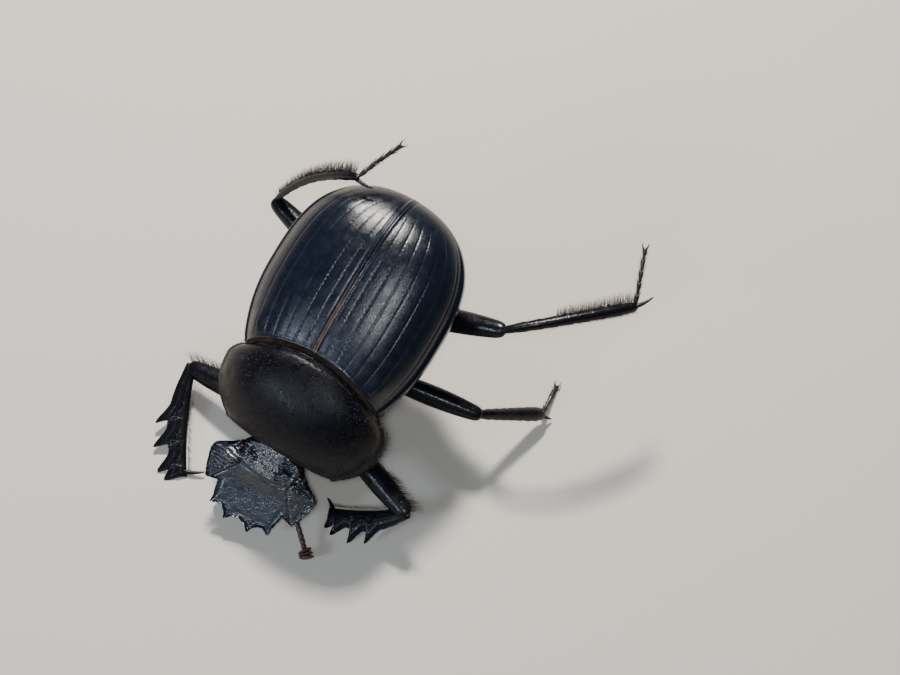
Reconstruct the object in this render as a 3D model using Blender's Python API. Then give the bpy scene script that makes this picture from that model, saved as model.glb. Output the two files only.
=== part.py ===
"""A ball-rolling dung beetle, life size, as a still museum model.

The body is drawn level in millimetres, with x to the beetle's left, y towards its tail and z up from the
side margins of the wing cases. One empty, the stance, then tips it head down and sets its feet on z = 0.
Two more empties turn the prothorax and the head a little against the body behind them.
"""

import math

import bmesh
import bpy
import numpy as np
from mathutils import Vector

MM = 0.001
GAP = 0.12  # the thin cut between neighbouring pieces, mm

# Stance: how the level body is held over the floor.
PITCH = math.radians(23)
STANCE_AT = (-4.1, -4.03, 8.9)
PROTHORAX_YAW = math.radians(-1.2)
PROTHORAX_AT = (0.46, -0.06, 0)
PROTHORAX_PITCH = math.radians(4)
HEAD_AT = (0.33, -9.03, -1.0)
HEAD_YAW = math.radians(-4)
HEAD_TILT = math.radians(16)
HEAD_ROLL = math.radians(11)  # the left cheek hangs lower than the right one

# Wing cases.
ELYTRA_LENGTH = 14.2
ELYTRA_WIDEST_AT = 5.0
ELYTRA_HALF = 7.35
ELYTRA_BASE_HALF = 6.5
ELYTRA_TOP = 4.15
ELYTRA_WALL = 0.75
ELYTRA_BASE_Y = 0.65
ELYTRA_SHOULDER = 2.1  # how far the shoulders reach forward of the suture
ELYTRA_YAW = math.radians(-1)
DOME_FLATNESS = 2.6  # how long the back stays level before it turns down to the side
DOME_ROUNDNESS = 1.7  # how upright it meets the side margin

# The hind body under them, cut once across between the middle and hind legs.
TRUNK_FRONT = 0.85
TRUNK_CUT = 5.2
TRUNK_END = 12.6
BELLY_DEPTH = 4.5
BELLY_DEEPEST_AT = 3.0

# Shield of the prothorax, in its own frame, whose origin is on the joint with the wing cases.
PRONOTUM_HALF = 7.1
PRONOTUM_FRONT_HALF = 4.75
PRONOTUM_HIND_HALF = 5.65
PRONOTUM_LENGTH = 7.25  # from the joint to the front margin
PRONOTUM_WIDEST = 0.29  # as a share of its length
PRONOTUM_TOP = 4.2
PRONOTUM_WALL = 0.4
CHEST_DEPTH = 3.3

# Head shield, as angle from straight ahead in degrees and radius in mm, for one side.
HEAD_OUTLINE = (
    (0, 4.68),  # notch between the middle teeth
    (11, 5.36),  # middle tooth
    (19, 4.8),
    (28.7, 5.23),  # outer tooth
    (46, 4.0),  # notch where the cheek plate begins
    (51.7, 4.83),  # front corner of the cheek
    (85.7, 4.63),  # rear corner of the cheek
    (95, 3.3),  # canthus, in front of the eye
    (106, 2.75),
    (140, 2.15),
    (180, 1.75),  # back of the head, inside the prothorax
)
EYE_AT = (2.55, 0.5, 0.1)
EYE_RADII = (0.4, 0.6, 0.5)
CHEEK_SIDE = 68  # degrees
MOUTH_AT = (0.0, -1.3, -2.0)
MOUTH_RADII = (1.5, 1.15, 0.75)
PALP_HALF = 0.26

# Antennae: the root under the cheek, the elbow, and the middle of the club.
ANTENNAE = {
    "left": ((3.1, -10.8, -2.75), (4.5, -12.1, -3.15), (5.8, -13.35, -3.0)),
    "right": ((-2.9, -10.7, -2.15), (-3.1, -11.9, -2.9), (-2.3, -12.9, -3.15)),
}
STALK_HALF = 0.27
CLUB_LEAVES = 3
CLUB_LEAF_RADII = (0.5, 0.24, 0.36)
CLUB_LEAF_STEP = 0.3

# Legs: joints of the right and left side in the level body frame.
LEGS = {
    "fore_right": ((-2.95, -5.1, -3.9), (-9.95, -5.7, -5.2), (-5.9, -13.25, -3.95)),
    "fore_left": ((4.0, -4.4, -3.9), (10.9, -6.75, -3.0), (5.3, -9.9, -5.3)),
    "middle_right": ((-4.2, 1.6, -4.4), (-8.2, 6.9, -7.1), (-8.6, 10.0, -12.6)),
    "middle_left": ((4.2, 1.4, -4.4), (11.6, 2.45, -5.4), (15.25, 4.95, -10.8)),
    "hind_right": ((-1.9, 6.5, -4.9), (-10.6, 8.9, -4.8), (-3.8, 13.5, 3.1)),
    "hind_left": ((1.9, 6.3, -4.9), (10.55, 8.95, -1.9), (18.2, 15.7, -4.9)),
}
# Where the last claw joint of each foot ends.
TOES = {
    "middle_right": (-6.9, 12.6, -14.85),
    "middle_left": (14.75, 7.35, -12.62),
    "hind_right": (-2.15, 17.15, 3.1),
    "hind_left": (16.6, 19.75, -3.9),
}
COXA_RADII = {"fore": (1.7, 1.25, 1.25), "middle": (1.5, 1.2, 1.15), "hind": (2.0, 1.15, 1.05)}
COXA_INWARD = {"fore": 0.75, "middle": 0.65, "hind": -0.25}  # from hip joint to the coxa's middle
FEMUR_HALVES = {"fore": (0.88, 0.72), "middle": (0.82, 0.78), "hind": (0.9, 0.85)}
TIBIA_HALVES = {"fore": (0.6, 0.42), "middle": (0.6, 0.45), "hind": (0.5, 0.4)}
# How far the shins bow away from the straight line between their ends.
SHIN_BOW = {
    "hind_right": (-0.68, 0.6, 0.2),
    "hind_left": (0.0, -0.2, 1.0),
    "fore_right": (-0.6, -0.35, 0.1),
    "fore_left": (0.3, -0.55, -0.05),
}
# The way the teeth of the digging shins point.
SHIN_OUTWARD = {"fore_right": (-0.85, -0.5, 0.15), "fore_left": (0.5, -0.87, -0.1)}
SHIN_TEETH = (0.45, 0.67, 0.88, 0.97)  # places along the shin
TOOTH_REACH = 1.2
TOOTH_HALF = 0.085  # as a share of the shin
# Where the thorn at the end of each shin points to.
SPUR_TIPS = {
    "fore_right": (-4.5, -12.0, -4.1),
    "fore_left": (4.6, -9.0, -5.4),
    "middle_right": (-8.9, 10.3, -13.4),
    "middle_left": (15.9, 4.9, -11.5),
    "hind_right": (-2.4, 13.3, 3.0),
    "hind_left": (18.9, 16.95, -4.9),
}
TARSUS_HALF = 0.3
TARSUS_JOINTS = 5

COLOURS = {
    "shell": ((0.012, 0.014, 0.019, 1), 0.32),
    "belly": ((0.014, 0.012, 0.012, 1), 0.45),
    "leg": ((0.012, 0.011, 0.012, 1), 0.28),
    "antenna": ((0.07, 0.022, 0.015, 1), 0.5),
    "eye": ((0.02, 0.014, 0.008, 1), 0.12),
}


def clear_scene():
    for item in list(bpy.data.objects):
        bpy.data.objects.remove(item, do_unlink=True)


def new_collection(name, hidden=False):
    made = bpy.data.collections.new(name)
    made.hide_render = hidden
    bpy.context.scene.collection.children.link(made)
    return made


def material(name):
    """One Principled material for each kind of surface."""
    found = bpy.data.materials.get(name)
    if found:
        return found
    colour, roughness = COLOURS[name]
    made = bpy.data.materials.new(name)
    made.use_nodes = True
    shader = made.node_tree.nodes["Principled BSDF"]
    shader.inputs["Base Color"].default_value = colour
    shader.inputs["Roughness"].default_value = roughness
    shader.inputs["Metallic"].default_value = 0.0
    return made


def empty(name, parent=None, at=(0, 0, 0), turn=(0, 0, 0)):
    made = bpy.data.objects.new(name, None)
    made.location = Vector(at) * MM
    made.rotation_euler = turn
    made.parent = parent
    beetle.objects.link(made)
    return made


def add_object(name, verts, faces, finish, parent, cutter=False):
    """A closed mesh from points in mm; faces are turned outward and doubled points at poles are joined."""
    mesh = bpy.data.meshes.new(name)
    mesh.from_pydata((np.asarray(verts, float) * MM).tolist(), [], [list(map(int, f)) for f in faces])
    work = bmesh.new()
    work.from_mesh(mesh)
    bmesh.ops.remove_doubles(work, verts=work.verts, dist=2e-7)
    bmesh.ops.dissolve_degenerate(work, edges=work.edges, dist=2e-7)
    bmesh.ops.recalc_face_normals(work, faces=work.faces)
    work.to_mesh(mesh)
    work.free()
    mesh.materials.append(material(finish))
    mesh.shade_smooth()
    mesh.set_sharp_from_angle(angle=math.radians(50))
    made = bpy.data.objects.new(name, mesh)
    made.parent = parent
    if cutter:
        cutters.objects.link(made)
        made.hide_render = True
        made.display_type = "WIRE"
    else:
        beetle.objects.link(made)
    return made


def join_or_cut(target, other, operation):
    step = target.modifiers.new(other.name, "BOOLEAN")
    step.operation = operation
    step.solver = "EXACT"
    step.object = other


def cut(target, *others):
    for other in others:
        join_or_cut(target, other, "DIFFERENCE")


def join(target, *others):
    for other in others:
        join_or_cut(target, other, "UNION")


def grid_faces(across, along, start=0, flip=False):
    faces = []
    for j in range(along):
        for i in range(across):
            a = start + j * (across + 1) + i
            b, c, d = a + 1, a + across + 2, a + across + 1
            faces.append((d, c, b, a) if flip else (a, b, c, d))
    return faces


def slab(name, upper, lower, across, along, finish, parent, cutter=False):
    """A closed plate between two surfaces of u and v, each from 0 to 1, walled round where their edges part."""
    v, u = np.meshgrid(np.linspace(0, 1, along + 1), np.linspace(0, 1, across + 1), indexing="ij")
    tops = np.stack(upper(u, v), -1).reshape(-1, 3)
    lows = np.stack(lower(u, v), -1).reshape(-1, 3)
    count = len(tops)
    faces = grid_faces(across, along) + grid_faces(across, along, count, True)
    row = across + 1
    ring = list(range(row))
    ring += [j * row + across for j in range(1, along + 1)]
    ring += [along * row + i for i in range(across - 1, -1, -1)]
    ring += [j * row for j in range(along - 1, 0, -1)]
    for a, b in zip(ring, ring[1:] + ring[:1]):
        faces.append((a, a + count, b + count, b))
    return add_object(name, np.vstack([tops, lows]), faces, finish, parent, cutter)


def tube(name, centres, halves, side, sides, finish, parent, cutter=False):
    """Rings round a path, closed to a point at both ends. Halves are each ring's half width and half depth."""
    centres = np.asarray(centres, float)
    halves = np.asarray(halves, float)
    along = np.gradient(centres, axis=0)
    along /= np.linalg.norm(along, axis=1)[:, None]
    wide = np.asarray(side, float) - along * (along @ np.asarray(side, float))[:, None]
    wide /= np.linalg.norm(wide, axis=1)[:, None]
    deep = np.cross(along, wide)
    turn = np.linspace(0, 2 * np.pi, sides, endpoint=False)
    rings = (
        centres[:, None]
        + wide[:, None] * (halves[:, :1] * np.cos(turn))[..., None]
        + deep[:, None] * (halves[:, 1:] * np.sin(turn))[..., None]
    )[1:-1]
    verts = np.vstack([rings.reshape(-1, 3), centres[:1], centres[-1:]])
    count = len(rings)
    faces = []
    for j in range(count - 1):
        for i in range(sides):
            k = (i + 1) % sides
            faces.append((j * sides + i, j * sides + k, (j + 1) * sides + k, (j + 1) * sides + i))
    for i in range(sides):
        k = (i + 1) % sides
        faces.append((i, count * sides, k))
        faces.append(((count - 1) * sides + k, count * sides + 1, (count - 1) * sides + i))
    return add_object(name, verts, faces, finish, parent, cutter)


def limb(name, start, end, halves, side, finish, parent, bow=(0, 0, 0), rings=9, sides=10, grow=0.0, cutter=False):
    """A limb segment with round ends: halves gives (half width, half depth) as functions of the way along."""
    start = np.asarray(start, float)
    end = np.asarray(end, float)
    axis = (end - start) / np.linalg.norm(end - start)
    start = start - axis * grow
    end = end + axis * grow
    s = (1 - np.cos(np.linspace(0, np.pi, rings))) / 2
    centres = start + s[:, None] * (end - start) + (4 * s * (1 - s))[:, None] * np.asarray(bow, float)
    rounding = (1 - np.abs(2 * s - 1) ** 7) ** (1 / 3)
    wide = (halves[0](s) + grow) * rounding
    deep = (halves[1](s) + grow) * rounding
    return tube(name, centres, np.stack([wide, deep], -1), side, sides, finish, parent, cutter)


def ball(name, at, radii, finish, parent, turn=(0, 0, 0), grow=0.0, cutter=False, sides=12):
    """An ellipsoid started from a sphere primitive."""
    work = bmesh.new()
    bmesh.ops.create_uvsphere(work, u_segments=sides, v_segments=sides // 2 + 2, radius=1)
    mesh = bpy.data.meshes.new(name)
    bmesh.ops.scale(work, vec=[(r + grow) * MM for r in radii], verts=work.verts)
    work.to_mesh(mesh)
    work.free()
    mesh.materials.append(material(finish))
    mesh.shade_smooth()
    made = bpy.data.objects.new(name, mesh)
    made.location = Vector(at) * MM
    made.rotation_euler = turn
    made.parent = parent
    if cutter:
        cutters.objects.link(made)
        made.hide_render = True
        made.display_type = "WIRE"
    else:
        beetle.objects.link(made)
    return made


# ---- Wing cases and the body under them ----


def body_half_width(y, inset):
    """Half width of the hind body: a slow widening to the widest place, then a superellipse to the tail."""
    end = ELYTRA_LENGTH - inset
    rear = np.clip((y - ELYTRA_WIDEST_AT) / (end - ELYTRA_WIDEST_AT), 0, 1)
    front = np.clip((ELYTRA_WIDEST_AT - y) / ELYTRA_WIDEST_AT, 0, 1.3)
    wide = ELYTRA_HALF - inset
    return np.where(
        y > ELYTRA_WIDEST_AT,
        wide * (1 - rear**2.9) ** (1 / 2.2),
        wide - (ELYTRA_HALF - ELYTRA_BASE_HALF) * front**2.2,
    )


def body_top(y, inset):
    """Height of the suture: nearly level, then falling steeply at the tail."""
    end = ELYTRA_LENGTH - inset
    rear = np.clip((y - ELYTRA_WIDEST_AT) / (end - ELYTRA_WIDEST_AT), 0, 1)
    front = np.clip((ELYTRA_WIDEST_AT - y) / ELYTRA_WIDEST_AT, 0, 1.3)
    high = ELYTRA_TOP - inset
    return np.where(y > ELYTRA_WIDEST_AT, high * (1 - rear**3.2) ** (1 / 1.6), high - 0.65 * front**2)


def margin_height(y):
    return 0.2 - 0.2 * y / ELYTRA_LENGTH


def back_surface(u, v, inset, hand, first, last):
    """The domed back as (x, y, z): u runs from the middle to the side, v from first to last."""
    y = first + (last - first) * np.sin(v * np.pi / 2)
    edge = margin_height(y) - 0.35 * inset
    x = hand * u * body_half_width(y, inset)
    z = edge + (body_top(y, inset) - edge) * (1 - u**DOME_FLATNESS) ** (1 / DOME_ROUNDNESS)
    return x, y, z


def elytron(hand):
    name = "elytron_left" if hand > 0 else "elytron_right"

    def surface(inset):
        """The front margin follows the turned and pitched hind margin of the prothorax."""

        def at(u, v):
            side = hand * u * (ELYTRA_BASE_HALF - inset) - PROTHORAX_AT[0]
            height = (ELYTRA_TOP - 0.6 - inset) * (1 - u**DOME_FLATNESS) ** (1 / DOME_ROUNDNESS)
            turned = math.tan(PROTHORAX_YAW - ELYTRA_YAW) * side - math.sin(PROTHORAX_PITCH) * height
            first = ELYTRA_BASE_Y - ELYTRA_SHOULDER * (side / ELYTRA_BASE_HALF) ** 2 + turned
            x, y, z = back_surface(u, v, inset, hand, first, ELYTRA_LENGTH - inset)
            return x + hand * GAP / 2 * (1 - u), y, z

        return at

    return slab(name, surface(0), surface(ELYTRA_WALL), 9, 12, "shell", hind_frame)


def belly_depth(y):
    """Depth of the underside below the margins, deepest a little behind the middle legs."""
    before = np.clip(BELLY_DEEPEST_AT - y, 0, None)
    behind = np.clip(y - BELLY_DEEPEST_AT, 0, None)
    return BELLY_DEPTH - 0.05 * before**2 - 0.022 * behind**2


def trunk_piece(name, first, last):
    """A length of the hind body between two cross planes, under the wing cases."""
    inset = ELYTRA_WALL + GAP

    def spread(u):
        return 2 * u - 1

    def upper(u, v):
        side = spread(u)
        y = first + (last - first) * v
        edge = margin_height(y) - 0.35 * inset
        x = side * body_half_width(y, inset)
        z = edge + (body_top(y, inset) - edge) * (1 - np.abs(side) ** DOME_FLATNESS) ** (1 / DOME_ROUNDNESS)
        return x, y, z

    def lower(u, v):
        side = spread(u)
        y = first + (last - first) * v
        x = side * (body_half_width(y, inset) - 0.1)
        z = -0.6 - (belly_depth(y) - 0.6) * (1 - np.abs(side) ** 2.4) ** 0.7
        return x, y, z

    return slab(name, upper, lower, 10, 4, "belly", hind_frame)


def pygidium():
    """The last back plate, a rounded triangle that closes the tail under the wing cases' tips."""

    def surface(shift):
        def at(u, v):
            side = 2 * u - 1
            x = side * (4.4 - 2.4 * v**1.6)
            y = 13.05 - 0.3 * side**2 - 0.2 * v + shift
            z = -0.35 - 2.3 * v - 0.12 * side**2
            return x, y, z

        return at

    return slab("pygidium", surface(0.6), surface(0), 8, 4, "belly", hind_frame)


# ---- Prothorax ----


def pronotum_half_width(v):
    before = np.clip((PRONOTUM_WIDEST - v) / PRONOTUM_WIDEST, 0, 1)
    after = np.clip((v - PRONOTUM_WIDEST) / (1 - PRONOTUM_WIDEST), 0, 1.1)
    narrowing = (PRONOTUM_HALF - PRONOTUM_HIND_HALF) * before**2
    return PRONOTUM_HALF - narrowing - (PRONOTUM_HALF - PRONOTUM_FRONT_HALF) * after**2.6


def pronotum_plan(u, v, grow):
    """Plan of the shield as (side from -1 to 1, x, y)."""
    side = 2 * u - 1
    x = side * (pronotum_half_width(v) + grow)
    hind = 0.45 - 1.75 * side**2 + grow
    return side, x, hind * (1 - v) - (PRONOTUM_LENGTH + grow) * v


def pronotum_margin(v):
    return 0.2 - 1.2 * v**0.85


def pronotum_top(v):
    rise = np.where(v < PRONOTUM_WIDEST, 7.8, 4.9)
    return PRONOTUM_TOP - rise * (v - PRONOTUM_WIDEST) ** 2


def prothorax_dome(grow):
    def at(u, v):
        side, x, y = pronotum_plan(u, v, grow)
        edge = pronotum_margin(v)
        return x, y, edge + (pronotum_top(v) + grow - edge) * (1 - np.abs(side) ** 2.4) ** (1 / 1.6)

    return at


def prothorax_level(drop, inset):
    def at(u, v):
        _, x, y = pronotum_plan(u, v, -inset)
        return x, y, pronotum_margin(v) - drop

    return at


def prothorax_keel(grow, inset):
    def at(u, v):
        side, x, y = pronotum_plan(u, v, grow - inset)
        deep = CHEST_DEPTH - 5.2 * (v - 0.45) ** 2 + grow
        return x, y, pronotum_margin(v) - 1.0 - deep * (1 - np.abs(side) ** 2.2) ** 0.8

    return at


def prothorax():
    """The shield, the keel under it, and the room that both take out of the head."""
    rows = 7
    finish = ("belly", prothorax_frame)
    under_shield = prothorax_level(PRONOTUM_WALL + 2 * GAP, 0.25)
    slab("pronotum", prothorax_dome(0), prothorax_level(PRONOTUM_WALL, 0), 14, rows, "shell", prothorax_frame)
    keel = slab("prosternum", under_shield, prothorax_keel(0, 0.3), 10, rows, *finish)
    room = slab("room_for_prothorax", prothorax_dome(GAP), prothorax_keel(GAP, 0.1), 14, rows, *finish, True)
    return keel, room


# ---- Head ----


def head_radius(degrees):
    """Radius of the head shield at an angle either side of straight ahead, eased between its corners."""
    angles, radii = zip(*HEAD_OUTLINE)
    return np.interp(np.abs(degrees), angles, radii)


def head_angles():
    """Angles all round the shield: each corner of the outline, and one more along each cheek's side."""
    half = sorted([a for a, _ in HEAD_OUTLINE] + [CHEEK_SIDE])
    return np.array(half + [-a for a in half[-2:0:-1]])


def head_shield():
    """A plate on a polar grid: thin and toothed in front, domed and deep where the head enters the prothorax."""
    degrees = head_angles()
    count = len(degrees)
    shares = np.array([1.0, 0.88, 0.68, 0.4])
    radius = shares[:, None] * head_radius(degrees)
    x = radius * np.sin(np.radians(degrees))
    ahead = radius * np.cos(np.radians(degrees))
    swell = np.exp(-(((ahead + 0.5) / 2.3) ** 2) - (x / 3.0) ** 2)
    top = 0.1 + 0.85 * swell
    low = -0.4 - 2.0 * np.exp(-(((ahead + 0.8) / 2.5) ** 2) - (x / 2.5) ** 2)
    rings_top = np.stack([x, -ahead, top], -1)
    rings_low = np.stack([x, -ahead, low], -1)
    verts = np.vstack([rings_top.reshape(-1, 3), [[0, 0, 0.95]], rings_low.reshape(-1, 3), [[0, 0, -2.3]]])
    under = len(shares) * count + 1
    faces = []
    for i in range(count):
        k = (i + 1) % count
        for j in range(len(shares) - 1):
            quad = (j * count + i, j * count + k, (j + 1) * count + k, (j + 1) * count + i)
            faces.append(quad)
            faces.append(tuple(under + q for q in reversed(quad)))
        last = (len(shares) - 1) * count
        faces.append((last + i, last + k, under - 1))
        faces.append((under + last + k, under + last + i, 2 * under - 1))
        faces.append((k, i, under + i, under + k))
    return add_object("head", verts, faces, "shell", head_frame)


def eyes_and_mouth(head, prothorax_room):
    """Eyes let into the head, and the soft mouthparts with two palps beneath it."""
    for hand, word in ((1, "left"), (-1, "right")):
        at = (hand * EYE_AT[0], *EYE_AT[1:])
        eye = ball("eye_" + word, at, EYE_RADII, "eye", head_frame, sides=10)
        cut(eye, prothorax_room)
        cut(head, ball("socket_" + word, at, EYE_RADII, "eye", head_frame, grow=GAP, cutter=True, sides=10))
    mouth = ball("mouthparts", MOUTH_AT, MOUTH_RADII, "antenna", head_frame)
    for hand, word in ((1, "left"), (-1, "right")):
        feeler = limb(
            "palp_" + word,
            (hand * 0.8, -1.7, -2.3),
            (hand * 1.7, -3.1, -2.0),
            (lambda s: PALP_HALF + 0 * s, lambda s: PALP_HALF + 0 * s),
            (1, 0, 0),
            "antenna",
            head_frame,
            rings=6,
            sides=6,
            cutter=True,
        )
        join(mouth, feeler)
    cut(head, ball("mouth_room", MOUTH_AT, MOUTH_RADII, "antenna", head_frame, grow=GAP, cutter=True))


def antenna(word, head):
    """A stalk along a bent quadratic curve, and a club of flat leaves joined to one."""
    root, elbow, club_at = (np.array(p) for p in ANTENNAE[word])
    way = (club_at - elbow) / np.linalg.norm(club_at - elbow)
    stalk_end = club_at - way * 0.62
    s = np.linspace(0, 1, 9)[:, None]
    path = (1 - s) ** 2 * root + 2 * s * (1 - s) * elbow + s**2 * stalk_end
    half = STALK_HALF * (1 - np.abs(2 * s[:, 0] - 1) ** 6) ** (1 / 3)
    halves = np.stack([half, half], -1)
    stalk = tube("antenna_stalk_" + word, path, halves, (0, 0, 1), 8, "antenna", stance)
    halves = np.stack([half + GAP, half + GAP], -1)
    halves[[0, -1]] = 0
    cut(head, tube("stalk_room_" + word, path, halves, (0, 0, 1), 8, "antenna", stance, True))
    leaves = []
    for leaf in range(CLUB_LEAVES):
        leaves.append(
            ball(
                f"club_leaf_{leaf}_{word}",
                club_at + way * CLUB_LEAF_STEP * (leaf - 0.6),
                CLUB_LEAF_RADII,
                "antenna",
                stance,
                turn=(0, 0, math.atan2(way[1], way[0]) - math.pi / 2),
                cutter=leaf > 0,
                sides=6,
            )
        )
    leaves[0].name = "antenna_club_" + word
    join(leaves[0], *leaves[1:])
    end_room = ball("club_room_" + word, stalk_end, (0.2, 0.2, 0.2), "antenna", stance, grow=GAP, cutter=True, sides=8)
    cut(leaves[0], end_room)


# ---- Legs ----


def outward_side(leg, start, end):
    """The broad way of a limb: level and square to it, or the way its teeth point."""
    axis = np.array(end) - np.array(start)
    if leg in SHIN_OUTWARD:
        return SHIN_OUTWARD[leg]
    flat = np.cross(axis, (0.0, 0.0, 1.0))
    return flat / np.linalg.norm(flat)


def digging_shin(leg):
    """A fore shin: a blade, thick along its inner edge, with four teeth growing out of its outer edge."""
    _, knee, tip = (np.array(p) for p in LEGS[leg])
    axis = tip - knee
    length = np.linalg.norm(axis)
    axis = axis / length
    out = np.array(SHIN_OUTWARD[leg])
    out = out - axis * (out @ axis)
    out /= np.linalg.norm(out)
    deep = np.cross(axis, out)
    half_wide, half_deep = TIBIA_HALVES["fore"]
    bow = np.array(SHIN_BOW[leg])

    def surface(sign):
        def at(u, v):
            s = np.interp(v, np.linspace(0, 1, 9), (0, 0.3, 0.42, 0.52, 0.62, 0.71, 0.8, 0.89, 0.985))
            teeth = np.zeros_like(s)
            for number, place in enumerate(SHIN_TEETH):
                reach = TOOTH_REACH * (0.8 + 0.07 * number)
                teeth = np.maximum(teeth, reach * np.clip(1 - np.abs(s - place) / TOOTH_HALF, 0, 1))
            body = half_wide * (0.6 + 2.6 * s * (1 - s))
            across = -body + u * (2 * body + teeth)
            thick = half_deep * (1 - 0.75 * u**2) * np.sqrt(np.clip(u / 0.2, 0, 1))
            lean = 0.6 * teeth * u
            way = s * length + lean
            spots = knee + way[..., None] * axis + across[..., None] * out
            spots = spots + (sign * (thick + 0.02))[..., None] * deep + (4 * s * (1 - s))[..., None] * bow
            return spots[..., 0], spots[..., 1], spots[..., 2]

        return at

    return slab("tibia_" + leg, surface(1), surface(-1), 3, 28, "leg", stance)


def shin(name, leg, grow=0.0, cutter=False):
    """A middle or hind shin, widening to its end."""
    pair = leg.split("_")[0]
    _, knee, tip = LEGS[leg]
    half_wide, half_deep = TIBIA_HALVES[pair]
    widening = 0.75 if pair == "middle" else 0.3

    def wide(s):
        return half_wide * (0.65 + widening * s)

    def deep(s):
        return half_deep * (0.8 + 0.35 * s)

    side = outward_side(leg, knee, tip)
    bow = SHIN_BOW.get(leg, (0, 0, 0))
    return limb(name, knee, tip, (wide, deep), side, "leg", stance, bow, 12, 8, grow, cutter)


def spur(name, leg, grow=0.0):
    """The thorn at the end of a shin, or the room for it."""
    _, knee, tip = (np.array(p) for p in LEGS[leg])
    root = tip - (tip - knee) / np.linalg.norm(tip - knee) * 0.5
    end = np.array(SPUR_TIPS[leg])
    side = np.cross(end - tip, (0.3, 0.4, 1.0))

    def half(s):
        return 0.3 - 0.12 * s

    return limb(name, root, end, (half, half), side, "leg", stance, (0, 0, 0), 5, 6, grow, True)


def tarsus(leg):
    """A foot of five joints and two claws, as one beaded limb."""
    tip = np.array(LEGS[leg][2])
    knee = np.array(LEGS[leg][1])
    toe = np.array(TOES[leg])
    root = tip - (tip - knee) / np.linalg.norm(tip - knee) * 0.25
    s = np.linspace(0, 1, 16)
    joints = TARSUS_JOINTS * s - np.floor(TARSUS_JOINTS * s - 1e-9)
    half = TARSUS_HALF * (0.88 + 0.35 * joints) * (1 - 0.1 * s)
    half[[0, -1]] = 0
    sag = np.array((0.0, 0.0, -0.25)) if leg.startswith("middle") else np.array((0.0, 0.1, 0.15))
    centres = root + s[:, None] * (toe - root) + (4 * s * (1 - s))[:, None] * sag
    foot = tube("tarsus_" + leg, centres, np.stack([half, half], -1), (0.1, 0.2, 1), 6, "leg", stance)
    way = (toe - root) / np.linalg.norm(toe - root)
    flat = np.cross(way, (0, 0, 1.0))
    for hand in (1, -1):
        claw = limb(
            f"claw_{leg}_{hand}",
            toe - way * 0.35,
            toe + way * 0.5 + hand * flat * 0.3,
            (lambda s: 0.25 - 0.08 * s, lambda s: 0.25 - 0.08 * s),
            (0.1, 0.2, 1),
            "leg",
            stance,
            rings=4,
            sides=5,
            cutter=True,
        )
        join(foot, claw)
    cut(foot, shin("tibia_room_" + leg, leg, GAP, True), spur("spur_room_" + leg, leg, GAP))
    return foot


def femur_limb(name, leg, grow=0.0, cutter=False):
    """A thigh: thickest a little before the middle, flattened, with round ends."""
    pair = leg.split("_")[0]
    hip, knee, _ = LEGS[leg]
    half_wide, half_deep = FEMUR_HALVES[pair]

    def wide(s):
        return half_wide * (0.55 + 0.45 * np.sin(np.pi * np.clip(s * 0.92 + 0.1, 0, 1)))

    def deep(s):
        return half_deep * (0.65 + 0.35 * np.sin(np.pi * np.clip(s * 0.92 + 0.1, 0, 1)))

    side = outward_side("", hip, knee)
    return limb(name, hip, knee, (wide, deep), side, "leg", stance, grow=grow, cutter=cutter)


def leg_pieces(leg, trunk, floor):
    """One leg from hip to claws, each piece cut back from the one before it."""
    pair = leg.split("_")[0]
    hip = np.array(LEGS[leg][0])
    hand = 1 if leg.endswith("left") else -1
    radii = COXA_RADII[pair]
    coxa_at = hip - np.array((hand * COXA_INWARD[pair], 0, -0.1))
    lean = (0, hand * 0.15, hand * (0.25 if pair == "middle" else 0.0))
    ball("coxa_" + leg, coxa_at, radii, "leg", stance, turn=lean, sides=8)
    coxa_room = ball("coxa_room_" + leg, coxa_at, radii, "leg", stance, turn=lean, grow=GAP, cutter=True, sides=8)
    femur = femur_limb("femur_" + leg, leg)
    femur_room = femur_limb("femur_room_" + leg, leg, GAP, True)
    cut(femur, coxa_room)
    cut(trunk, coxa_room, femur_room)
    if pair == "fore":
        tibia = digging_shin(leg)
    else:
        tibia = shin("tibia_" + leg, leg)
    join(tibia, spur("spur_" + leg, leg))
    cut(tibia, femur_room)
    if pair != "fore":
        cut(tarsus(leg), floor)
    cut(tibia, floor)


def floor_block():
    """Trims the feet to small flats on z = 0."""
    work = bmesh.new()
    bmesh.ops.create_cube(work, size=1)
    bmesh.ops.scale(work, vec=(80 * MM, 80 * MM, 10 * MM), verts=work.verts)
    bmesh.ops.translate(work, vec=(0, 0, -5 * MM), verts=work.verts)
    mesh = bpy.data.meshes.new("floor_block")
    work.to_mesh(mesh)
    work.free()
    made = bpy.data.objects.new("floor_block", mesh)
    made.hide_render = True
    made.display_type = "WIRE"
    cutters.objects.link(made)
    return made


clear_scene()
beetle = new_collection("dung_beetle")
cutters = new_collection("cutters", hidden=True)
stance = empty("stance", at=STANCE_AT, turn=(PITCH, 0, 0))
hind_frame = empty("hind_frame", stance, turn=(0, 0, ELYTRA_YAW))
prothorax_frame = empty("prothorax_frame", stance, at=PROTHORAX_AT, turn=(PROTHORAX_PITCH, 0, PROTHORAX_YAW))
head_frame = empty("head_frame", stance, at=HEAD_AT, turn=(HEAD_TILT, HEAD_ROLL, HEAD_YAW))
head_frame.rotation_mode = "YXZ"

elytron(1)
elytron(-1)
metasternum = trunk_piece("metasternum", TRUNK_FRONT, TRUNK_CUT)
abdomen = trunk_piece("abdomen", TRUNK_CUT + GAP, TRUNK_END)
pygidium()
prosternum, prothorax_room = prothorax()
head = head_shield()
cut(head, prothorax_room)
eyes_and_mouth(head, prothorax_room)
antenna("left", head)
antenna("right", head)
floor = floor_block()
TRUNKS = {"fore": prosternum, "middle": metasternum, "hind": abdomen}
for leg_name in LEGS:
    leg_pieces(leg_name, TRUNKS[leg_name.split("_")[0]], floor)
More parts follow.
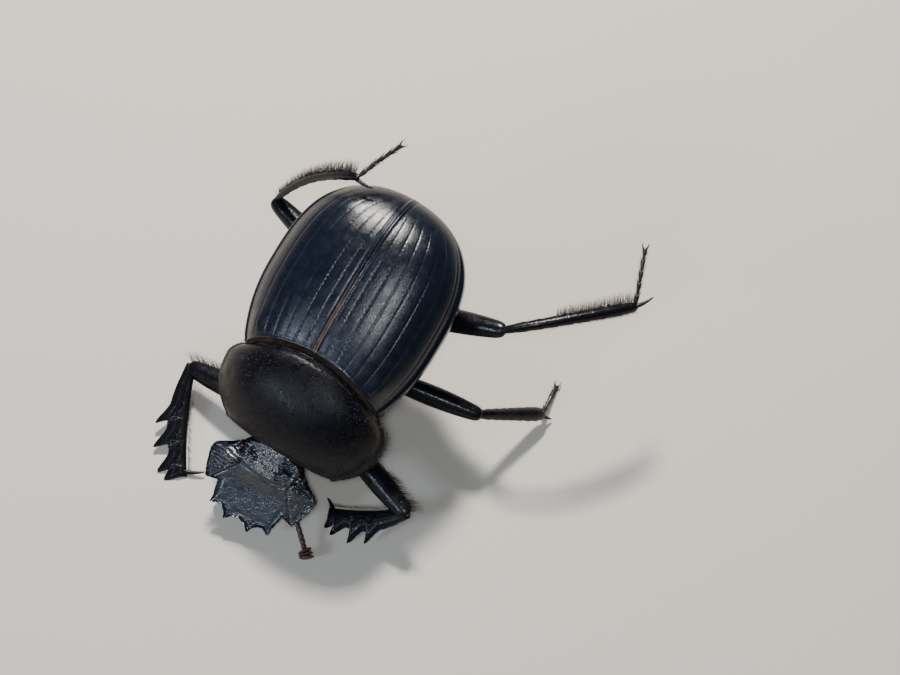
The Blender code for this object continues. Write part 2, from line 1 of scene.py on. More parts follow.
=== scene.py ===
import bmesh
import bpy
import numpy as np
from mathutils import Matrix


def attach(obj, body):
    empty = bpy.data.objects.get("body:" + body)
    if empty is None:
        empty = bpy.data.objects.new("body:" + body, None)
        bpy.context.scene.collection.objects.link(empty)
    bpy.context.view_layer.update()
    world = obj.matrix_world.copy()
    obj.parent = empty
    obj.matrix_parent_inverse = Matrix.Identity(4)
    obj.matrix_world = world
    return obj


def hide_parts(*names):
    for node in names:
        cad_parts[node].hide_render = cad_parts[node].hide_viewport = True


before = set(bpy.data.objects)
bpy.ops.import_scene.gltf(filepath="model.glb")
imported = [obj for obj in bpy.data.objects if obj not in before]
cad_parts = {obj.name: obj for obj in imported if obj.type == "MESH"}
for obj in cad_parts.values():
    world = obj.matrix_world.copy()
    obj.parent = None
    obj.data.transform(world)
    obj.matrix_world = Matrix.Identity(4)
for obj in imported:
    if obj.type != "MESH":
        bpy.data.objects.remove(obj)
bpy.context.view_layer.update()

# ---- Wing cases ----
# Two domed plates of thick black chitin that cover the folded wings and meet in a straight seam.
# Each has fine lengthwise furrows with a row of pits in each, a raised bead along its side, and dust
# caught at its base and in the front of the seam. The brown along the right one's side is a painted
# reflection of sand.

MM = 0.001
PITCH = np.radians(23)
STANCE_AT = (-4.1, -4.03, 8.9)
CASE_YAW = np.radians(-1)
CASE_LENGTH = 14.2
CASE_WIDEST_AT = 5
CASE_HALF = 7.35
CASE_BASE_HALF = 6.5
CASE_TOP = 4.15
CASE_BASE_Y = 0.65
CASE_SHOULDER = 2.1
DOME_FLATNESS = 2.6
DOME_ROUNDNESS = 1 / 1.7
MARGIN_HEIGHT = 0.2
MARGIN_SINK = 0.35
SHIELD_AT = (0.46, -0.06, 0)
SHIELD_YAW = np.radians(-1.2)
SHIELD_PITCH = np.radians(4)
CASE_WALL = 0.6
SEAM = 0.05
FURROWS = np.arange(1, 8) / 7.6
PIT_SPACING = 0.38
FURROW_DEPTH = 0.022
PIT_DEPTH = 0.05
RIB_ARCH = 0.008
SEAM_BEAD = 0.05
SHOULDER_BUMP = 0.16
TAIL_BUMP = 0.1
SIDE_BEAD = 0.1
BASE_BEAD = 0.05
BASE_TUCK = 0.4
WELD = 2e-7


def xyz(x, y, z):
    """Points from their three parts, any of which may be one number for all of them."""
    return np.stack(np.broadcast_arrays(x, y, z), -1)


def turned(points, about_x=0, about_z=0, at=(0, 0, 0), about_y=0):
    """Points turned about y, then about x, then about z, then moved."""
    x, y, z = np.moveaxis(np.asarray(points, float), -1, 0)
    x, z = np.cos(about_y) * x + np.sin(about_y) * z, np.cos(about_y) * z - np.sin(about_y) * x
    y, z = np.cos(about_x) * y - np.sin(about_x) * z, np.sin(about_x) * y + np.cos(about_x) * z
    x, y = np.cos(about_z) * x - np.sin(about_z) * y, np.sin(about_z) * x + np.cos(about_z) * y
    return xyz(x, y, z) + np.asarray(at, float)


def placed(points):
    """From the level body, in mm, to its tipped stance on the floor, in metres."""
    return turned(points, PITCH, 0, STANCE_AT) * MM


def hind_place(points):
    return placed(turned(points, 0, CASE_YAW))


def grid_faces(rows, columns, ring=False):
    """The squares of a grid of points; a ring's last column joins its first."""
    index = np.arange(rows * columns).reshape(rows, columns)
    if ring:
        index = np.hstack([index, index[:, :1]])
    corners = (index[:-1, :-1], index[:-1, 1:], index[1:, 1:], index[1:, :-1])
    return np.stack(corners, -1).reshape(-1, 4)


def slab(top, low):
    """Points and faces of a closed plate: two grids of one size, and a wall round their borders."""
    rows, columns = top.shape[:2]
    count = rows * columns
    index = np.arange(count).reshape(rows, columns)
    border = np.concatenate([index[0], index[1:, -1], index[-1, -2::-1], index[-2:0:-1, 0]])
    after = np.roll(border, -1)
    wall = np.stack([border, border + count, after + count, after], -1)
    squares = grid_faces(rows, columns)
    points = np.concatenate([top.reshape(-1, 3), low.reshape(-1, 3)])
    return points, np.concatenate([squares, squares[:, ::-1] + count, wall])


def raised(grid, height):
    """A grid moved out by each point's height, along the cross product of the grid's two slopes."""
    normal = np.cross(np.gradient(grid, axis=1), np.gradient(grid, axis=0))
    normal *= np.sign(normal[..., 2].mean())
    normal /= np.linalg.norm(normal, axis=-1, keepdims=True) + 1e-12
    return grid + normal * height[..., None]


def turns(count):
    """Angles of that many even steps round a full turn."""
    return np.linspace(0, 2 * np.pi, count + 1)[:-1]


def unit(vectors):
    """Vectors scaled to a length of one."""
    return vectors / np.linalg.norm(vectors, axis=-1, keepdims=True)


def near(value, at, width, power=2):
    """A bell: 1 where the value is at its place, and exp(-|distance / width|^power) away from it."""
    return np.exp(-(np.abs((value - at) / width) ** power))


def ramp(value, start, end):
    """0 up to the start, 1 from the end on, and an even slope between them."""
    return np.clip((value - start) / (end - start), 0, 1)


def arch(share, flatness, roundness):
    """(1 - |share|^flatness)^roundness: 1 in the middle and 0 at the edges."""
    return (1 - np.abs(share) ** flatness) ** roundness


def sine_grid(start, columns, rows):
    """Two parameters on a grid: across, from the start to 1, crowded to the edges by a sine, and along,
    evenly from 0 to 1."""
    across, along = np.meshgrid(np.linspace(start, 1, columns), np.linspace(0, 1, rows))
    return np.sin(np.pi / 2 * across), along


def mesh_of(name, points, *faces):
    """A mesh of points and arrays of faces; the faces of one array have equally many corners."""
    mesh = bpy.data.meshes.new(name)
    points = np.asarray(points, np.float32).reshape(-1, 3)
    corners = np.concatenate([some.ravel() for some in faces]).astype(np.int32)
    sizes = np.concatenate([np.full(len(some), some.shape[1]) for some in faces])
    mesh.vertices.add(len(points))
    mesh.vertices.foreach_set("co", points.ravel())
    mesh.loops.add(len(corners))
    mesh.loops.foreach_set("vertex_index", corners)
    mesh.polygons.add(len(sizes))
    mesh.polygons.foreach_set("loop_start", (np.cumsum(sizes) - sizes).astype(np.int32))
    mesh.update(calc_edges=True)
    return mesh


def add_object(name, data):
    made = bpy.data.objects.new(name, data)
    bpy.context.scene.collection.objects.link(made)
    return made


def add_mesh(mesh, finish, stands_for=(), weld=0):
    """A closed mesh as a piece of the model: points within the weld are joined, and faces turned out."""
    work = bmesh.new()
    work.from_mesh(mesh)
    if weld:
        bmesh.ops.remove_doubles(work, verts=work.verts, dist=weld)
    bmesh.ops.recalc_face_normals(work, faces=work.faces)
    work.to_mesh(mesh)
    work.free()
    mesh.shade_smooth()
    mesh.materials.append(finish)
    piece = add_object(mesh.name, mesh)
    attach(piece, "root")
    if stands_for:
        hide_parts(*stands_for)


def add_piece(name, shape, place, finish, stands_for=(), marks=None):
    """A piece from a shape's points and faces, put in its place, with the marks that its finish reads."""
    points, faces = shape
    mesh = mesh_of(name, place(points), faces)
    for label, values in (marks or {}).items():
        mark = mesh.attributes.new(label, "FLOAT", "POINT")
        mark.data.foreach_set("value", np.asarray(values, np.float32).ravel())
    add_mesh(mesh, finish, stands_for, WELD)


def slab_marks(dust_and_reflection, rubbed, dust_below=0):
    """A slab's marks: those of its outer grid, then its inner one's, which is never rubbed."""
    return {"dust_and_reflection": np.stack([dust_and_reflection, dust_below + 0 * dust_and_reflection]), "rubbed": np.stack([rubbed, 0 * rubbed])}


DUST_AND_REFLECTION_BROWN = (0.2, 0.12, 0.065, 1)
DUST_DULLS = 0.4
RUBBING_SMOOTHS = 0.22
TONE_LOW = (0.6, 0.6, 0.65, 1)
TONE_HIGH = (1, 1, 1, 1)


def feed(shader, inputs):
    """Sets each named input of a shader node to a value, or links it to another node's output."""
    for label, value in inputs.items():
        if isinstance(value, bpy.types.NodeSocket):
            shader.id_data.links.new(value, shader.inputs[label])
        else:
            shader.inputs[label].default_value = value


def node(tree, kind, inputs, **settings):
    """A new shader node with its settings, which come first, and its inputs."""
    made = tree.nodes.new("ShaderNode" + kind)
    for label, value in settings.items():
        setattr(made, label, value)
    feed(made, inputs)
    return made


def two_tones(tree, value, low, high):
    """A colour between the low and the high one, by a value from 0 to 1."""
    tones = node(tree, "ValToRGB", {"Fac": value})
    tones.color_ramp.elements[0].color = low
    tones.color_ramp.elements[1].color = high
    return tones.outputs["Color"]


def chitin(name, colour, roughness, grain, pits, wrinkles=None, shine=0.5):
    """Black chitin. Grain is (cells per mm, depth in mm) of fine noise, pits the same of round punctures,
    wrinkles are (scale along x, y and z per mm, depth) and shine is the specular level. The mesh's marks
    say where broken patches of brown lie, which are dust in most places and a painted reflection of
    sand on the shield's sides and front and along the right wing case's side, and which rims are
    rubbed smooth."""
    made = bpy.data.materials.new(name)
    made.use_nodes = True
    tree = made.node_tree
    place = node(tree, "TexCoord", {}).outputs["Object"]

    def scaled(scale):
        scale = np.broadcast_to(scale, 3) / MM
        return node(tree, "Mapping", {"Vector": place, "Scale": scale}).outputs["Vector"]

    def noise(scale, detail):
        inputs = {"Vector": scaled(scale), "Scale": 1, "Detail": detail}
        return node(tree, "TexNoise", inputs).outputs["Fac"]

    def ranged(value, *limits):
        labels = ("Value", "From Min", "From Max", "To Min", "To Max")
        return node(tree, "MapRange", dict(zip(labels, (value, *limits)))).outputs["Result"]

    def maths(operation, first, second):
        return node(tree, "Math", {0: first, 1: second}, operation=operation).outputs["Value"]

    def mixed(blend, factor, first, second):
        inputs = {"Factor": factor, "A": first, "B": second}
        return node(tree, "Mix", inputs, data_type="RGBA", blend_type=blend).outputs["Result"]

    def marked(label):
        return node(tree, "Attribute", {}, attribute_name=label).outputs["Fac"]

    cells = node(tree, "TexVoronoi", {"Vector": scaled(pits[0]), "Scale": 1})
    height = maths("MULTIPLY", noise(grain[0], 1.5), grain[1])
    height = maths("ADD", height, ranged(cells.outputs["Distance"], 0, 0.34, -pits[1], 0))
    if wrinkles:
        height = maths("ADD", height, maths("MULTIPLY", noise(wrinkles[0], 2), wrinkles[1]))
    bump = node(tree, "Bump", {"Height": height, "Strength": 1, "Distance": MM})
    # The brown mixed in here is real dust in most places, and a painted reflection of sand on the shield's
    # sides and front and along the right wing case's side.
    dust_and_reflection_share = maths("MULTIPLY", marked("dust_and_reflection"), ranged(noise(2.6, 5), 0.35, 0.6, 0.25, 1))
    shade = mixed("MIX", dust_and_reflection_share, (*colour, 1), DUST_AND_REFLECTION_BROWN)
    tone = two_tones(tree, noise(0.45, 4), TONE_LOW, TONE_HIGH)
    worn = ranged(noise(1.3, 4), 0.3, 0.7, roughness - 0.06, roughness + 0.08)
    dull = maths("ADD", worn, maths("MULTIPLY", dust_and_reflection_share, DUST_DULLS))
    smoother = maths("MULTIPLY", marked("rubbed"), -RUBBING_SMOOTHS)
    finish = {
        "Base Color": mixed("MULTIPLY", 1, shade, tone),
        "Roughness": maths("ADD", dull, smoother),
        "Specular IOR Level": shine,
        "Normal": bump.outputs["Normal"],
    }
    feed(tree.nodes["Principled BSDF"], finish)
    return made


def along_back(y, inset):
    """The share of the way from the widest place back to the tail, and from it forward to the base."""
    rear = ramp(y, CASE_WIDEST_AT, CASE_LENGTH - inset)
    return rear, np.clip((CASE_WIDEST_AT - y) / CASE_WIDEST_AT, 0, 1.3)


def back_half_width(y, inset):
    """A slow widening from the base to the widest place, then a superellipse to the tail."""
    rear, front = along_back(y, inset)
    before = CASE_HALF - inset - (CASE_HALF - CASE_BASE_HALF) * front**2.2
    return np.where(y > CASE_WIDEST_AT, (CASE_HALF - inset) * arch(rear, 2.9, 1 / 2.2), before)


def seam_height(y, inset):
    """Nearly level along the back, then a steep superelliptic fall at the tail."""
    rear, front = along_back(y, inset)
    top = CASE_TOP - inset
    return np.where(y > CASE_WIDEST_AT, top * arch(rear, 3.2, 1 / 1.6), top - 0.65 * front**2)


def margin_height(y, inset):
    """The height of the side margin: it sinks evenly to the tail, and with the inset."""
    return MARGIN_HEIGHT - MARGIN_HEIGHT * y / CASE_LENGTH - MARGIN_SINK * inset


def back_dome(u, v, inset, hand):
    """The dome (1 - u^2.6)^(1/1.7) over the half width; its base follows the shield's hind margin."""
    dome = arch(u, DOME_FLATNESS, DOME_ROUNDNESS)
    side = hand * u * (CASE_BASE_HALF - inset) - SHIELD_AT[0]
    base_height = (CASE_TOP - 0.6 - inset) * dome
    lean = np.tan(SHIELD_YAW - CASE_YAW) * side - np.sin(SHIELD_PITCH) * base_height
    first = CASE_BASE_Y - CASE_SHOULDER * (side / CASE_BASE_HALF) ** 2 + lean
    y = first + (CASE_LENGTH - inset - first) * v
    edge = margin_height(y, inset)
    x = hand * (u * back_half_width(y, inset) + SEAM / 2 * (1 - u))
    z = edge + (seam_height(y, inset) - edge) * dome
    return xyz(x, y, z), y - first


def wing_case(hand):
    """Relief on the dome, in mm: seam bead, furrows with pits between gently arched ribs, bumps of the
    shoulder and tail, and the side bead with its gutter."""
    a, b = np.meshgrid(np.linspace(0, 1, 181), np.linspace(0, 1, 221))
    u = 0.45 * a + 0.55 * np.sin(np.pi / 2 * a)
    v = 0.4 * b + 0.6 * np.sin(np.pi / 2 * b)
    dome, behind = back_dome(u, v, 0, hand)
    y = dome[..., 1]
    across = u * back_half_width(y, 0)
    number = np.abs(u[..., None] - FURROWS).argmin(-1)
    off = np.abs(u - FURROWS[number]) * back_half_width(y, 0)
    fade = ramp(behind, 0, 0.8) * ramp(y, 13.3, 11.3)
    beat = 0.5 + 0.5 * np.cos(2 * np.pi * y / PIT_SPACING + 2.4 * number + 0.8 * np.sin(1.7 * y + number))
    deep = 0.15 + 0.85 * (number < 2) / (1 + np.exp((y - 9) / 0.4))
    relief = -FURROW_DEPTH * fade * near(off, 0, 0.06)
    relief -= PIT_DEPTH * fade * deep * near(off, 0, 0.08) * beat**3
    relief += RIB_ARCH * fade * (1 - near(off, 0, 0.3))
    relief += SEAM_BEAD * (near(across, 0.08, 0.1) - 0.7 * near(across, 0.3, 0.07))
    relief += SHOULDER_BUMP * near(u, 0.8, 0.09) * near(behind, 1.3, 0.9)
    relief += TAIL_BUMP * near(u, 0.62, 0.16) * near(y, 11.4, 0.8)
    side_fade = ramp(y, 13.4, 10.4)
    relief += SIDE_BEAD * side_fade * (near(u, 0.985, 0.01) - near(u, 0.962, 0.011))
    relief += BASE_BEAD * (near(behind, 0.14, 0.08) - 0.8 * near(behind, 0.36, 0.1))
    relief -= BASE_TUCK * np.exp(-behind / 0.07)
    inner, _ = back_dome(u, v, CASE_WALL, hand)
    # The seam, base and furrow marks are dust; the band along the right wing case's side is a painted
    # reflection of sand.
    dust_and_reflection = 0.75 * near(across, 0, 0.09) * ramp(y, 7.5, 4.5)
    dust_and_reflection += 0.5 * near(behind, 0, 0.16) + 0.05 * near(u, 0.86, 0.08) * (hand < 0)
    dust_and_reflection += 0.06 * near(off, 0, 0.08) * fade * ramp(y, 5, 1)
    marks = slab_marks(dust_and_reflection, side_fade * near(u, 0.985, 0.012))
    word = "left" if hand > 0 else "right"
    shape = slab(raised(dome, relief), inner)
    add_piece("wing_case_" + word, shape, hind_place, wing_black, ["elytron_" + word], marks)


# The faint blue in this near-black base colour is a painted reflection of the sky.
wing_black = chitin("wing_black", (0.003, 0.005, 0.012), 0.26, (14, 0.016), (7, 0.004), shine=0.42)
wing_case(1)
wing_case(-1)

# ---- Belly plates ----
# The hind body under the wing cases: the breastplate of the second and third chest rings, the overlapping
# belly rings, and the last back plate that closes the tail. Duller chitin, closely pitted.

BREAST = (-0.6, 5.32)
BELLY = (5.3, 12.72)
BELLY_RINGS = 6
BELLY_INSET = 0.8
BELLY_SIDE = 0.6
BELLY_DEPTH = 4.5
BELLY_DEEPEST_AT = 3
TAIL_PLATE_AT = 13.05
TAIL_PLATE_HALF = 4.4
TAIL_PLATE_TAPER = 2.4
TAIL_PLATE_DROP = 2.3
TAIL_PLATE_THICK = 0.6


def belly_height(y, side):
    """The underside: a keel (1 - |side|^2.4)^0.7 below the side margins, whose depth is a parabola either
    side of its deepest place, by the middle legs."""
    off = y - BELLY_DEEPEST_AT
    depth = BELLY_DEPTH - np.where(off < 0, 0.05, 0.022) * off**2
    return -BELLY_SIDE - (depth - BELLY_SIDE) * arch(side, 2.4, 0.7)


def hind_body(span, relief):
    """The wing cases' dome above and the belly's keel with its relief below, between two cross planes."""
    side, b = sine_grid(-1, 121, 91)
    y = span[0] + (span[1] - span[0]) * b
    edge = margin_height(y, BELLY_INSET)
    x = side * back_half_width(y, BELLY_INSET) * np.clip((y + 1.4) / 2, 0.4, 1)
    z = edge + (seam_height(y, BELLY_INSET) - 0.15 - edge) * arch(side, DOME_FLATNESS, DOME_ROUNDNESS)
    under = xyz(x * 0.985, y, belly_height(y, side) - relief(x, y, side))
    return slab(xyz(x, y, z), under)


def breast_relief(x, y, side):
    """A furrow along the middle, and a swelling in front of each hind hip."""
    return -0.1 * near(x, 0, 0.1) * (y > 1) + 0.12 * near(np.abs(x), 3.2, 0.5)


def ring_relief(x, y, side):
    """Each belly ring rises to its hind edge and overlaps the next one like a roof tile."""
    step = (BELLY[1] - BELLY[0]) / BELLY_RINGS
    part = ((y - BELLY[0] + 0.5 * side**2) / step) % 1
    return 0.13 * part**2 - 0.05 * near(part, 1, 0.06)


belly_black = chitin("belly_black", (0.005, 0.004, 0.005), 0.38, (7, 0.012), (3.6, 0.03), shine=0.25)
for name, span, relief in (("metasternum", BREAST, breast_relief), ("abdomen", BELLY, ring_relief)):
    add_piece("belly_" + name, hind_body(span, relief), hind_place, belly_black, [name])


def tail_plate(thickness):
    """A rounded triangle, curved across, that hangs from the wing cases' tips; its outer face bulges by the
    thickness times (1 - 0.85 side^2) sqrt(1 - v^2.4) and comes down to a thin lower rim."""
    side, v = sine_grid(-1, 61, 31)
    x = side * (TAIL_PLATE_HALF - TAIL_PLATE_TAPER * v**1.6)
    y = TAIL_PLATE_AT - 0.3 * side**2 - 0.2 * v
    y += thickness * (0.15 + 0.85 * (1 - 0.85 * side**2) * np.sqrt(1 - v**2.4))
    z = -0.35 - TAIL_PLATE_DROP * v - 0.12 * side**2
    return xyz(x, y, z)


shape = slab(tail_plate(TAIL_PLATE_THICK), tail_plate(0))
add_piece("tail_plate", shape, hind_place, belly_black, ["pygidium"])

# ---- Shield of the prothorax ----
# The big domed plate behind the head, one piece of black chitin, duller than the wing cases because it is
# closely pitted all over. Its sides are finely toothed, and a thin bead runs round its edge.

SHIELD_HALF = 7.1
SHIELD_FRONT_HALF = 4.75
SHIELD_HIND_HALF = 5.65
SHIELD_LENGTH = 7.25
SHIELD_WIDEST = 0.29
SHIELD_TOP = 4.2
SHIELD_FALL = (6.1, 4.9)
SHIELD_FLATNESS = 2.4
SHIELD_ROUNDNESS = 1 / 1.6
HIND_MIDDLE = 0.45
HIND_SWEEP = 1.75
HIND_BEAD = 0.12
FRONT_BEAD = 0.05
FLANK_BEAD = 0.1
FLANK_TEETH = 22
CHEST_INSET = 0.28
CHEST_DEPTH = 3.3
NECK_RADII = (6.2, 2.2, 3.5)


def on_prothorax(points):
    """From the prothorax's own frame to the level body."""
    return turned(points, SHIELD_PITCH, SHIELD_YAW, SHIELD_AT)


def prothorax_place(points):
    return placed(on_prothorax(points))


def shield_half_width(v):
    """Widest near the hind end, with a slight draw-in behind and a long curve to the front angles."""
    before = ramp(v, SHIELD_WIDEST, 0)
    after = np.clip((v - SHIELD_WIDEST) / (1 - SHIELD_WIDEST), 0, 1.1)
    narrowing = (SHIELD_HALF - SHIELD_HIND_HALF) * before**2
    return SHIELD_HALF - narrowing - (SHIELD_HALF - SHIELD_FRONT_HALF) * after**2.6


def shield_plan(side, v, grow):
    """Plan: the hind margin bulges back in the middle as a parabola, and the front one is straight."""
    hind = HIND_MIDDLE - HIND_SWEEP * side**2 + grow
    return side * (shield_half_width(v) + grow), hind * (1 - v) - (SHIELD_LENGTH + grow) * v


def shield_edge(v):
    """The height of the shield's side edge, which sinks to the front."""
    return 0.2 - 1.2 * v**0.85


def shield():
    """Dome (1 - |side|^2.4)^(1/1.6) over the plan, with edge beads, two side dimples and a toothed side."""
    a, b = np.meshgrid(np.linspace(-1, 1, 181), np.linspace(0, 1, 131))
    side = 0.35 * a + 0.65 * np.sin(np.pi / 2 * a)
    v = (1 - np.cos(np.pi * b)) / 2 * 0.5 + 0.5 * b
    x, y = shield_plan(side, v, 0)
    edge = shield_edge(v)
    top = SHIELD_TOP - np.where(v < SHIELD_WIDEST, *SHIELD_FALL) * (v - SHIELD_WIDEST) ** 2
    z = edge + (top - edge) * arch(side, SHIELD_FLATNESS, SHIELD_ROUNDNESS)
    from_hind = HIND_MIDDLE - HIND_SWEEP * side**2 - y
    from_front = y + SHIELD_LENGTH
    off_side = 1 - np.abs(side)
    relief = HIND_BEAD * near(from_hind, 0.1, 0.08) - 0.07 * near(from_hind, 0.36, 0.12)
    relief += FRONT_BEAD * near(from_front, 0.1, 0.08) - 0.03 * near(from_front, 0.3, 0.1)
    relief += FLANK_BEAD * near(off_side, 0.012, 0.012) - 0.06 * near(off_side, 0.045, 0.02)
    relief -= 0.05 * near(off_side, 0.2, 0.05) * near(v, 0.5, 0.06)
    relief -= 0.03 * near(x, 0, 0.25) * np.clip(0.5 - v, 0, 1)
    grid = raised(xyz(x, y, z), relief)
    saw = np.abs((v * FLANK_TEETH) % 1 - 0.5) * 2
    grid[..., 0] += np.sign(side) * 0.1 * saw * near(off_side, 0, 0.01) * (v > 0.04)
    shape = slab(grid, xyz(x * 0.99, y, edge - 0.4))
    # Painted reflection: the brown on the shield's sides and front stands in for sand reflected in them.
    dust_and_reflection = 0.04 * near(off_side, 0, 0.16) + 0.04 * ramp(v, 0.55, 1)
    marks = slab_marks(dust_and_reflection, near(from_hind, 0.1, 0.12), 0.2)
    add_piece("shield", shape, prothorax_place, shield_black, ["pronotum"], marks)


def chest():
    """The underside of the prothorax: a keel (1 - |side|^2.2)^0.8 hung from the shield's rim."""
    side, v = sine_grid(-1, 101, 61)
    x, y = shield_plan(side, v, -CHEST_INSET)
    top = xyz(x, y, shield_edge(v) - 0.45)
    deep = CHEST_DEPTH - 5.2 * (v - 0.45) ** 2
    low = shield_edge(v) - 0.95 - deep * arch(side, 2.2, 0.8)
    low += 0.08 * near(x, 0, 0.15) * (v < 0.5)
    shape = slab(top, xyz(x, y, low))
    add_piece("chest", shape, prothorax_place, belly_black, ["prosternum"])


def egg(at, radii, rows=25, columns=36):
    """An ellipsoid: radii times (sin slope cos turn, cos slope, sin slope sin turn), about its middle."""
    turn, slope = np.meshgrid(turns(columns), np.linspace(0, np.pi, rows))
    ball = xyz(np.sin(slope) * np.cos(turn), -np.cos(slope), np.sin(slope) * np.sin(turn))
    return at + ball * radii, grid_faces(rows, columns, True)


def neck():
    """The soft dark skin that joins the two halves of the body inside the gap, an egg with its sides drawn
    forward as a parabola."""
    points, faces = egg((0, -0.1, -0.5), NECK_RADII, columns=48)
    points[..., 1] -= 0.9 * (points[..., 0] / NECK_RADII[0]) ** 2
    marks = {"dust_and_reflection": 0.3 * ramp(points[..., 2], 0.2, 1.4)}
    add_piece("neck_skin", (points, faces), placed, joint_skin, (), marks)


shield_black = chitin("shield_black", (0.002, 0.002, 0.004), 0.3, (10, 0.035), (5, 0.07), shine=0.16)
joint_skin = chitin("joint_skin", (0.008, 0.006, 0.005), 0.5, (6, 0.02), (5, 0.02), shine=0.3)
shield()
chest()
neck()

# ---- Head ----
# A flat digging shovel: the toothed face plate in front, a cheek plate at each side with one tooth, a low
# ridge between the eyes and the bare crown behind it. All one hard capsule with turned-up edges.

HEAD_AT = (0.33, -9.03, -1)
HEAD_YAW = np.radians(-4)
HEAD_TILT = np.radians(16)
HEAD_ROLL = np.radians(11)
HEAD_OUTLINE = (
    (0, 4.66),  # notch between the middle teeth
    (7, 4.84),
    (11, 5.48),  # middle tooth
    (14.5, 4.95),
    (20, 4.74),
    (25, 4.86),
    (28.7, 5.42),  # outer tooth
    (32.5, 4.8),
    (46, 3.92),  # notch before the cheek plate
    (51.5, 4.88),  # front corner of the cheek
    (56, 4.8),
    (70, 4.62),
    (82, 4.6),  # rear corner of the cheek
    (86, 4.45),
    (95, 3.35),
    (106, 2.75),  # at the eye
    (125, 2.5),
    (140, 2.2),
    (180, 1.75),  # inside the prothorax
)
CROWN_SWELL = 0.8
RIM_TURN_UP = 0.16
RIDGE_HEIGHT = 0.5
LUMP_HEIGHT = 0.1
BROW_HEIGHT = 0.2
CHEEK_SEAM_DEPTH = 0.1
CHEEK_RISE = 0.45
CHEEK_FOLDS = 0.062
CHEEK_GRAINS = 0.048
FACE_GRAINS = 0.035
EYE_SLIT_DEPTH = 0.35


def on_head(points):
    """From the head's own frame to the level body."""
    return turned(points, HEAD_TILT, HEAD_YAW, HEAD_AT, HEAD_ROLL)


def head_place(points):
    return placed(on_head(points))


def head_capsule():
    """Polar grid over the outline. Heights in mm: a broad swell at the crown, the ridge along a parabola
    with lumps behind it, grooves between face and cheeks, turned-up rims, and sums of sines for the folds
    of the right cheek and the grains of the left cheek and of the face."""
    angles = np.linspace(-180, 180, 541)[:-1]
    radius = np.interp(np.abs(angles), *zip(*HEAD_OUTLINE))
    soft = np.array((1, 2, 4, 2, 1)) / 10
    radius = np.convolve(np.concatenate([radius[-2:], radius, radius[:2]]), soft, "valid")
    share = 1 - (1 - np.linspace(1, 0, 85)[:, None]) ** 1.35
    x = share * radius * np.sin(np.radians(angles))
    ahead = share * radius * np.cos(np.radians(angles))
    wide = np.abs(x)
    from_rim = (1 - share) * radius
    front = ramp(ahead, -0.3, 0.3)
    top = 0.05 + CROWN_SWELL * near(ahead, -0.5, 2.3) * near(x, 0, 3)
    top += front * (RIM_TURN_UP * near(from_rim, 0, 0.14) - 0.05 * near(from_rim, 0.4, 0.2))
    top -= 0.25 * near(ahead, 2, 1.3) * near(x, 0, 2.1)
    past = ahead - (0.45 - 0.08 * x**2)
    crown = near(x, 0, 2.35, 8) * near(past, -0.8, 1.6, 4) / (1 + np.exp(past / 0.07))
    lumps = np.sin(8 * x + 1.3 * np.sin(5 * ahead)) * np.sin(9 * ahead + 1.7 * np.sin(4 * x))
    lumps *= 0.12 + 0.88 * near(x, 1.25, 0.55, 4)
    top += (0.08 + RIDGE_HEIGHT * ramp(past, -1.3, 0) + LUMP_HEIGHT * lumps) * crown
    top += 0.07 * crown * near(past, -0.12, 0.12) - 0.12 * near(past, 0.28, 0.22) * near(x, 0, 2.3, 6)
    top += BROW_HEIGHT * near(wide, 1.5, 0.42) * near(ahead, -0.6, 0.4)
    top -= 0.08 * near(x, 0, 0.5) * near(ahead, -0.5, 0.4)
    across = (wide - 1.75) * 0.84 - (ahead - 0.3) * 0.54
    outside = ramp(wide, 1.9, 2.2)
    top -= CHEEK_SEAM_DEPTH * near(across, 0, 0.07) * outside
    cheek = outside / (1 + np.exp(-(across - 0.1) / 0.07))
    top += cheek * (0.06 + CHEEK_RISE * ramp(from_rim, 0, 1.7))
    folds = np.sin(19 * ahead + 2.3 * np.sin(2.1 * x + 1) + 1.3 * np.sin(5.3 * x + 2.1 * ahead))
    grains = np.sin(17 * x + 1.9 * np.sin(9 * ahead)) * np.sin(18 * ahead + 2.1 * np.sin(8 * x))
    top += cheek * np.where(x < 0, CHEEK_FOLDS * folds, CHEEK_GRAINS * grains)
    grainy = np.clip(1 - np.hypot((x - 1.2) / 1.8, (ahead - 1.9) / 1.6), 0, 1)
    top += FACE_GRAINS * grains * grainy * front * (1 - cheek)
    slit = (wide - 2.35) + 0.35 * (ahead + 0.5)
    top -= EYE_SLIT_DEPTH * near(slit, 0, 0.16) * near(ahead, -0.5, 0.75, 4)
    low = np.minimum(-0.2 - 2.2 * near(ahead, -0.8, 2.5) * near(x, 0, 2.4), top - 0.18)
    points = np.concatenate([xyz(x, -ahead, top), xyz(x, -ahead, low)[::-1]])
    marks = slab_marks(0.06 * near(across, 0, 0.1) * outside, front * near(from_rim, 0, 0.16))
    shape = (points, grid_faces(*points.shape[:2], True))
    add_piece("head_capsule", shape, head_place, head_black, ["head"], marks)


wrinkles = ((2.2, 8, 8), 0.05)
head_black = chitin("head_black", (0.004, 0.007, 0.017), 0.2, (12, 0.022), (6, 0.034), wrinkles, 0.9)
head_capsule()

# ---- Eyes ----
# Two beads of many tiny lenses under one smooth, very dark brown surface. Each is let into the head in the
# slit behind a cheek plate.

EYE_AT = (2.55, 0.5, 0.1)
EYE_RADII = (0.4, 0.6, 0.5)


eye_brown = chitin("eye_brown", (0.016, 0.009, 0.005), 0.14, (20, 0.001), (14, 0.004))
for hand, word in ((1, "left"), (-1, "right")):
    bead = egg(np.multiply(EYE_AT, (hand, 1, 1)), EYE_RADII)
    add_piece("eye_bead_" + word, bead, head_place, eye_brown, ["eye_" + word])

# ---- Mouthparts and antennae ----
# Under the shovel lie the soft jaws and their palps. Each antenna is a thin jointed stalk that ends in a
# club of three flat leaves, all dark red-brown.

